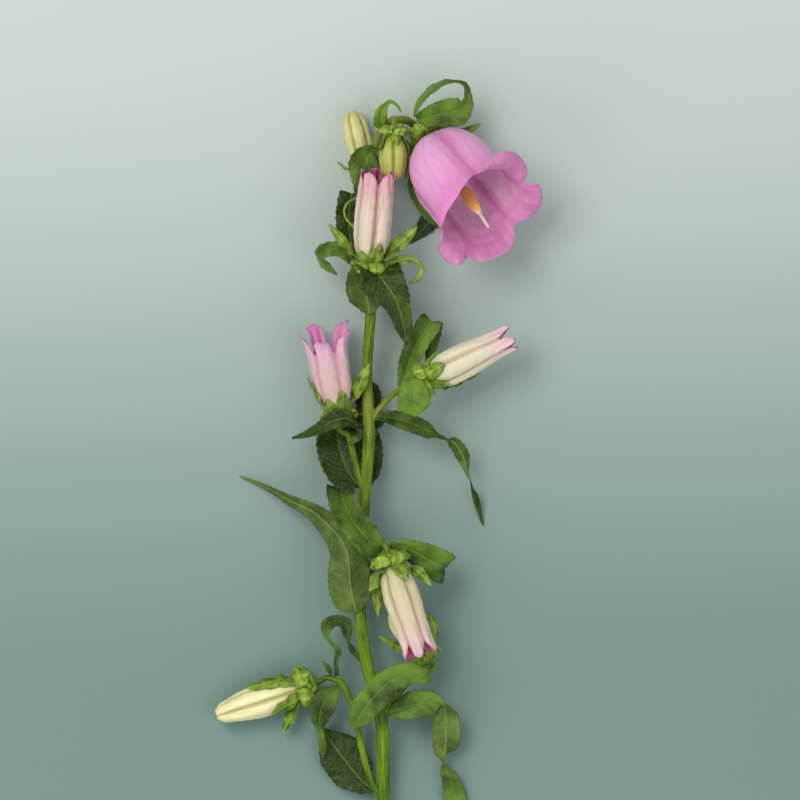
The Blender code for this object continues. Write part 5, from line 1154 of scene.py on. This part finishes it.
def pollenTree(material):
    tree, add, entry = startTree("pollenOnClub", (
        ("Geometry", "Style", None), ("Float", "Density", 100000.0), ("Float", "Radius", 0.0001),
        ("Float", "From", 0.0), ("Float", "To", 1.0), ("Int", "Seed", 2)), "Grains")
    along = add("GeometryNodeInputNamedAttribute", {"Name": "alongMm"}, data_type="FLOAT")
    above, below = (add("FunctionNodeCompare", (along, entry[end]), data_type="FLOAT", operation=test)
                    for end, test in (("From", "GREATER_THAN"), ("To", "LESS_THAN")))
    onClub = add("FunctionNodeBooleanMath", (above, below), operation="AND")
    spread = add("GeometryNodeDistributePointsOnFaces", {
        "Mesh": entry["Style"], "Selection": onClub, "Density": entry["Density"], "Seed": entry["Seed"]})
    grain = add("GeometryNodeMeshIcoSphere", {"Radius": entry["Radius"], "Subdivisions": 2})
    size = add("FunctionNodeRandomValue", {2: 0.6, 3: 1.2, "Seed": 3}, 1, data_type="FLOAT")
    planted = add("GeometryNodeInstanceOnPoints", {"Points": spread, "Instance": grain, "Scale": size})
    return finishTree(tree, planted, material, "Grains")


def pollenMaterial():  # waxy orange grains, dull as dust, that let a little light through
    material, add, spot = startMaterial("pollen_grain", pollenLook)
    patch = add("TexNoise", {"Vector": spot, "Scale": 1500, "Detail": 2})
    return finishMaterial(material, pollenLook, pollenLook["dark"], ((patch, pollenLook["light"]),))


grainSize = {"Density": pollenLook["perMm2"] * perSquareMetre, "Radius": pollenLook["radius"] * millimetre,
             "From": pollenLook["from"], "To": pollenLook["to"], "Seed": 2}
grains = grown(stylePiece, pollenTree(pollenMaterial()), grainSize, "pollen_grains")
fasten(grains, "style")
print("stage: pollen made,", len(grains.data.polygons), "faces")

# Floor, lights and camera. Each lamp: x, y, z, size, power and tint.
stageLook = {
    "floorLitTop": "#C0CCC8", "floorShadedLow": "#76908A", "fadeFrom": -0.08, "fadeTo": 0.2, "floorSize": 6.0,
    "floorDrop": 0.2,        # mm below the spike, so that the two don't touch
    "key": (-0.5, 0.45, 1.3, 0.7, 11.2, "#FFFCF4"), "fill": (0.75, -0.5, 1.15, 0.9, 4.5, "#FAFBFF"),
    "back": (-0.8, -0.75, 0.9, 0.9, 3.8, "#FFFFFF"), "sky": "#EDF0EC", "skyStrength": 0.55,
    "cameraHeight": 5.0, "lens": 600.0, "roughness": 0.9, "specular": 0.1, "glow": 0.0, "lightDepth": 0.0,
}


def floorMaterial():  # matt backdrop board with a painted falloff of the light: pale at the top, grey green painted shade below
    look = stageLook
    material, add, spot = startMaterial("backdrop_board_painted_falloff", look)
    high = add("SeparateXYZ", (spot,), "Y")
    # painted light falloff: lighter towards the top of the picture, darker towards the bottom
    fade = add("MapRange", (high, look["fadeFrom"], look["fadeTo"]), interpolation_type="SMOOTHSTEP")
    return finishMaterial(material, look, look["floorShadedLow"], ((fade, look["floorLitTop"]),))


wide, level = stageLook["floorSize"] / 2, -stageLook["floorDrop"] * millimetre
floorMesh = bpy.data.meshes.new("floor")
corners = [(x * wide, y * wide, level) for x, y in ((-1, -1), (1, -1), (1, 1), (-1, 1))]
floorMesh.from_pydata(corners, [], [(0, 1, 2, 3)])
floorMesh.materials.append(floorMaterial())
shown("floor", floorMesh)

for name in ("key", "fill", "back"):
    x, y, z, size, power, tint = stageLook[name]
    lamp = bpy.data.lights.new(name, "AREA")
    lamp.size = size
    lamp.energy = power
    lamp.color = toLinear(tint)[:3]
    holder = shown(name, lamp)
    holder.location = (x, y, z)
    holder.rotation_mode = "QUATERNION"
    holder.rotation_quaternion = Vector((-x, -y, -z)).to_track_quat("-Z", "Y")

world = bpy.data.worlds.new("soft_room")
world.use_nodes = True
sky = world.node_tree.nodes["Background"]
sky.inputs["Color"].default_value = toLinear(stageLook["sky"])
sky.inputs["Strength"].default_value = stageLook["skyStrength"]
bpy.context.scene.world = world
bpy.context.scene.view_settings.view_transform = "Standard"

lens = bpy.data.cameras.new("camera")
lens.lens = stageLook["lens"]
lens.sensor_width = 36.0
lens.clip_end = 50.0
camera = shown("camera", lens)
camera.location = (-spikeCentre[0] * millimetre, -spikeCentre[1] * millimetre, stageLook["cameraHeight"])
bpy.context.scene.camera = camera
print("stage: floor, lights and camera made")
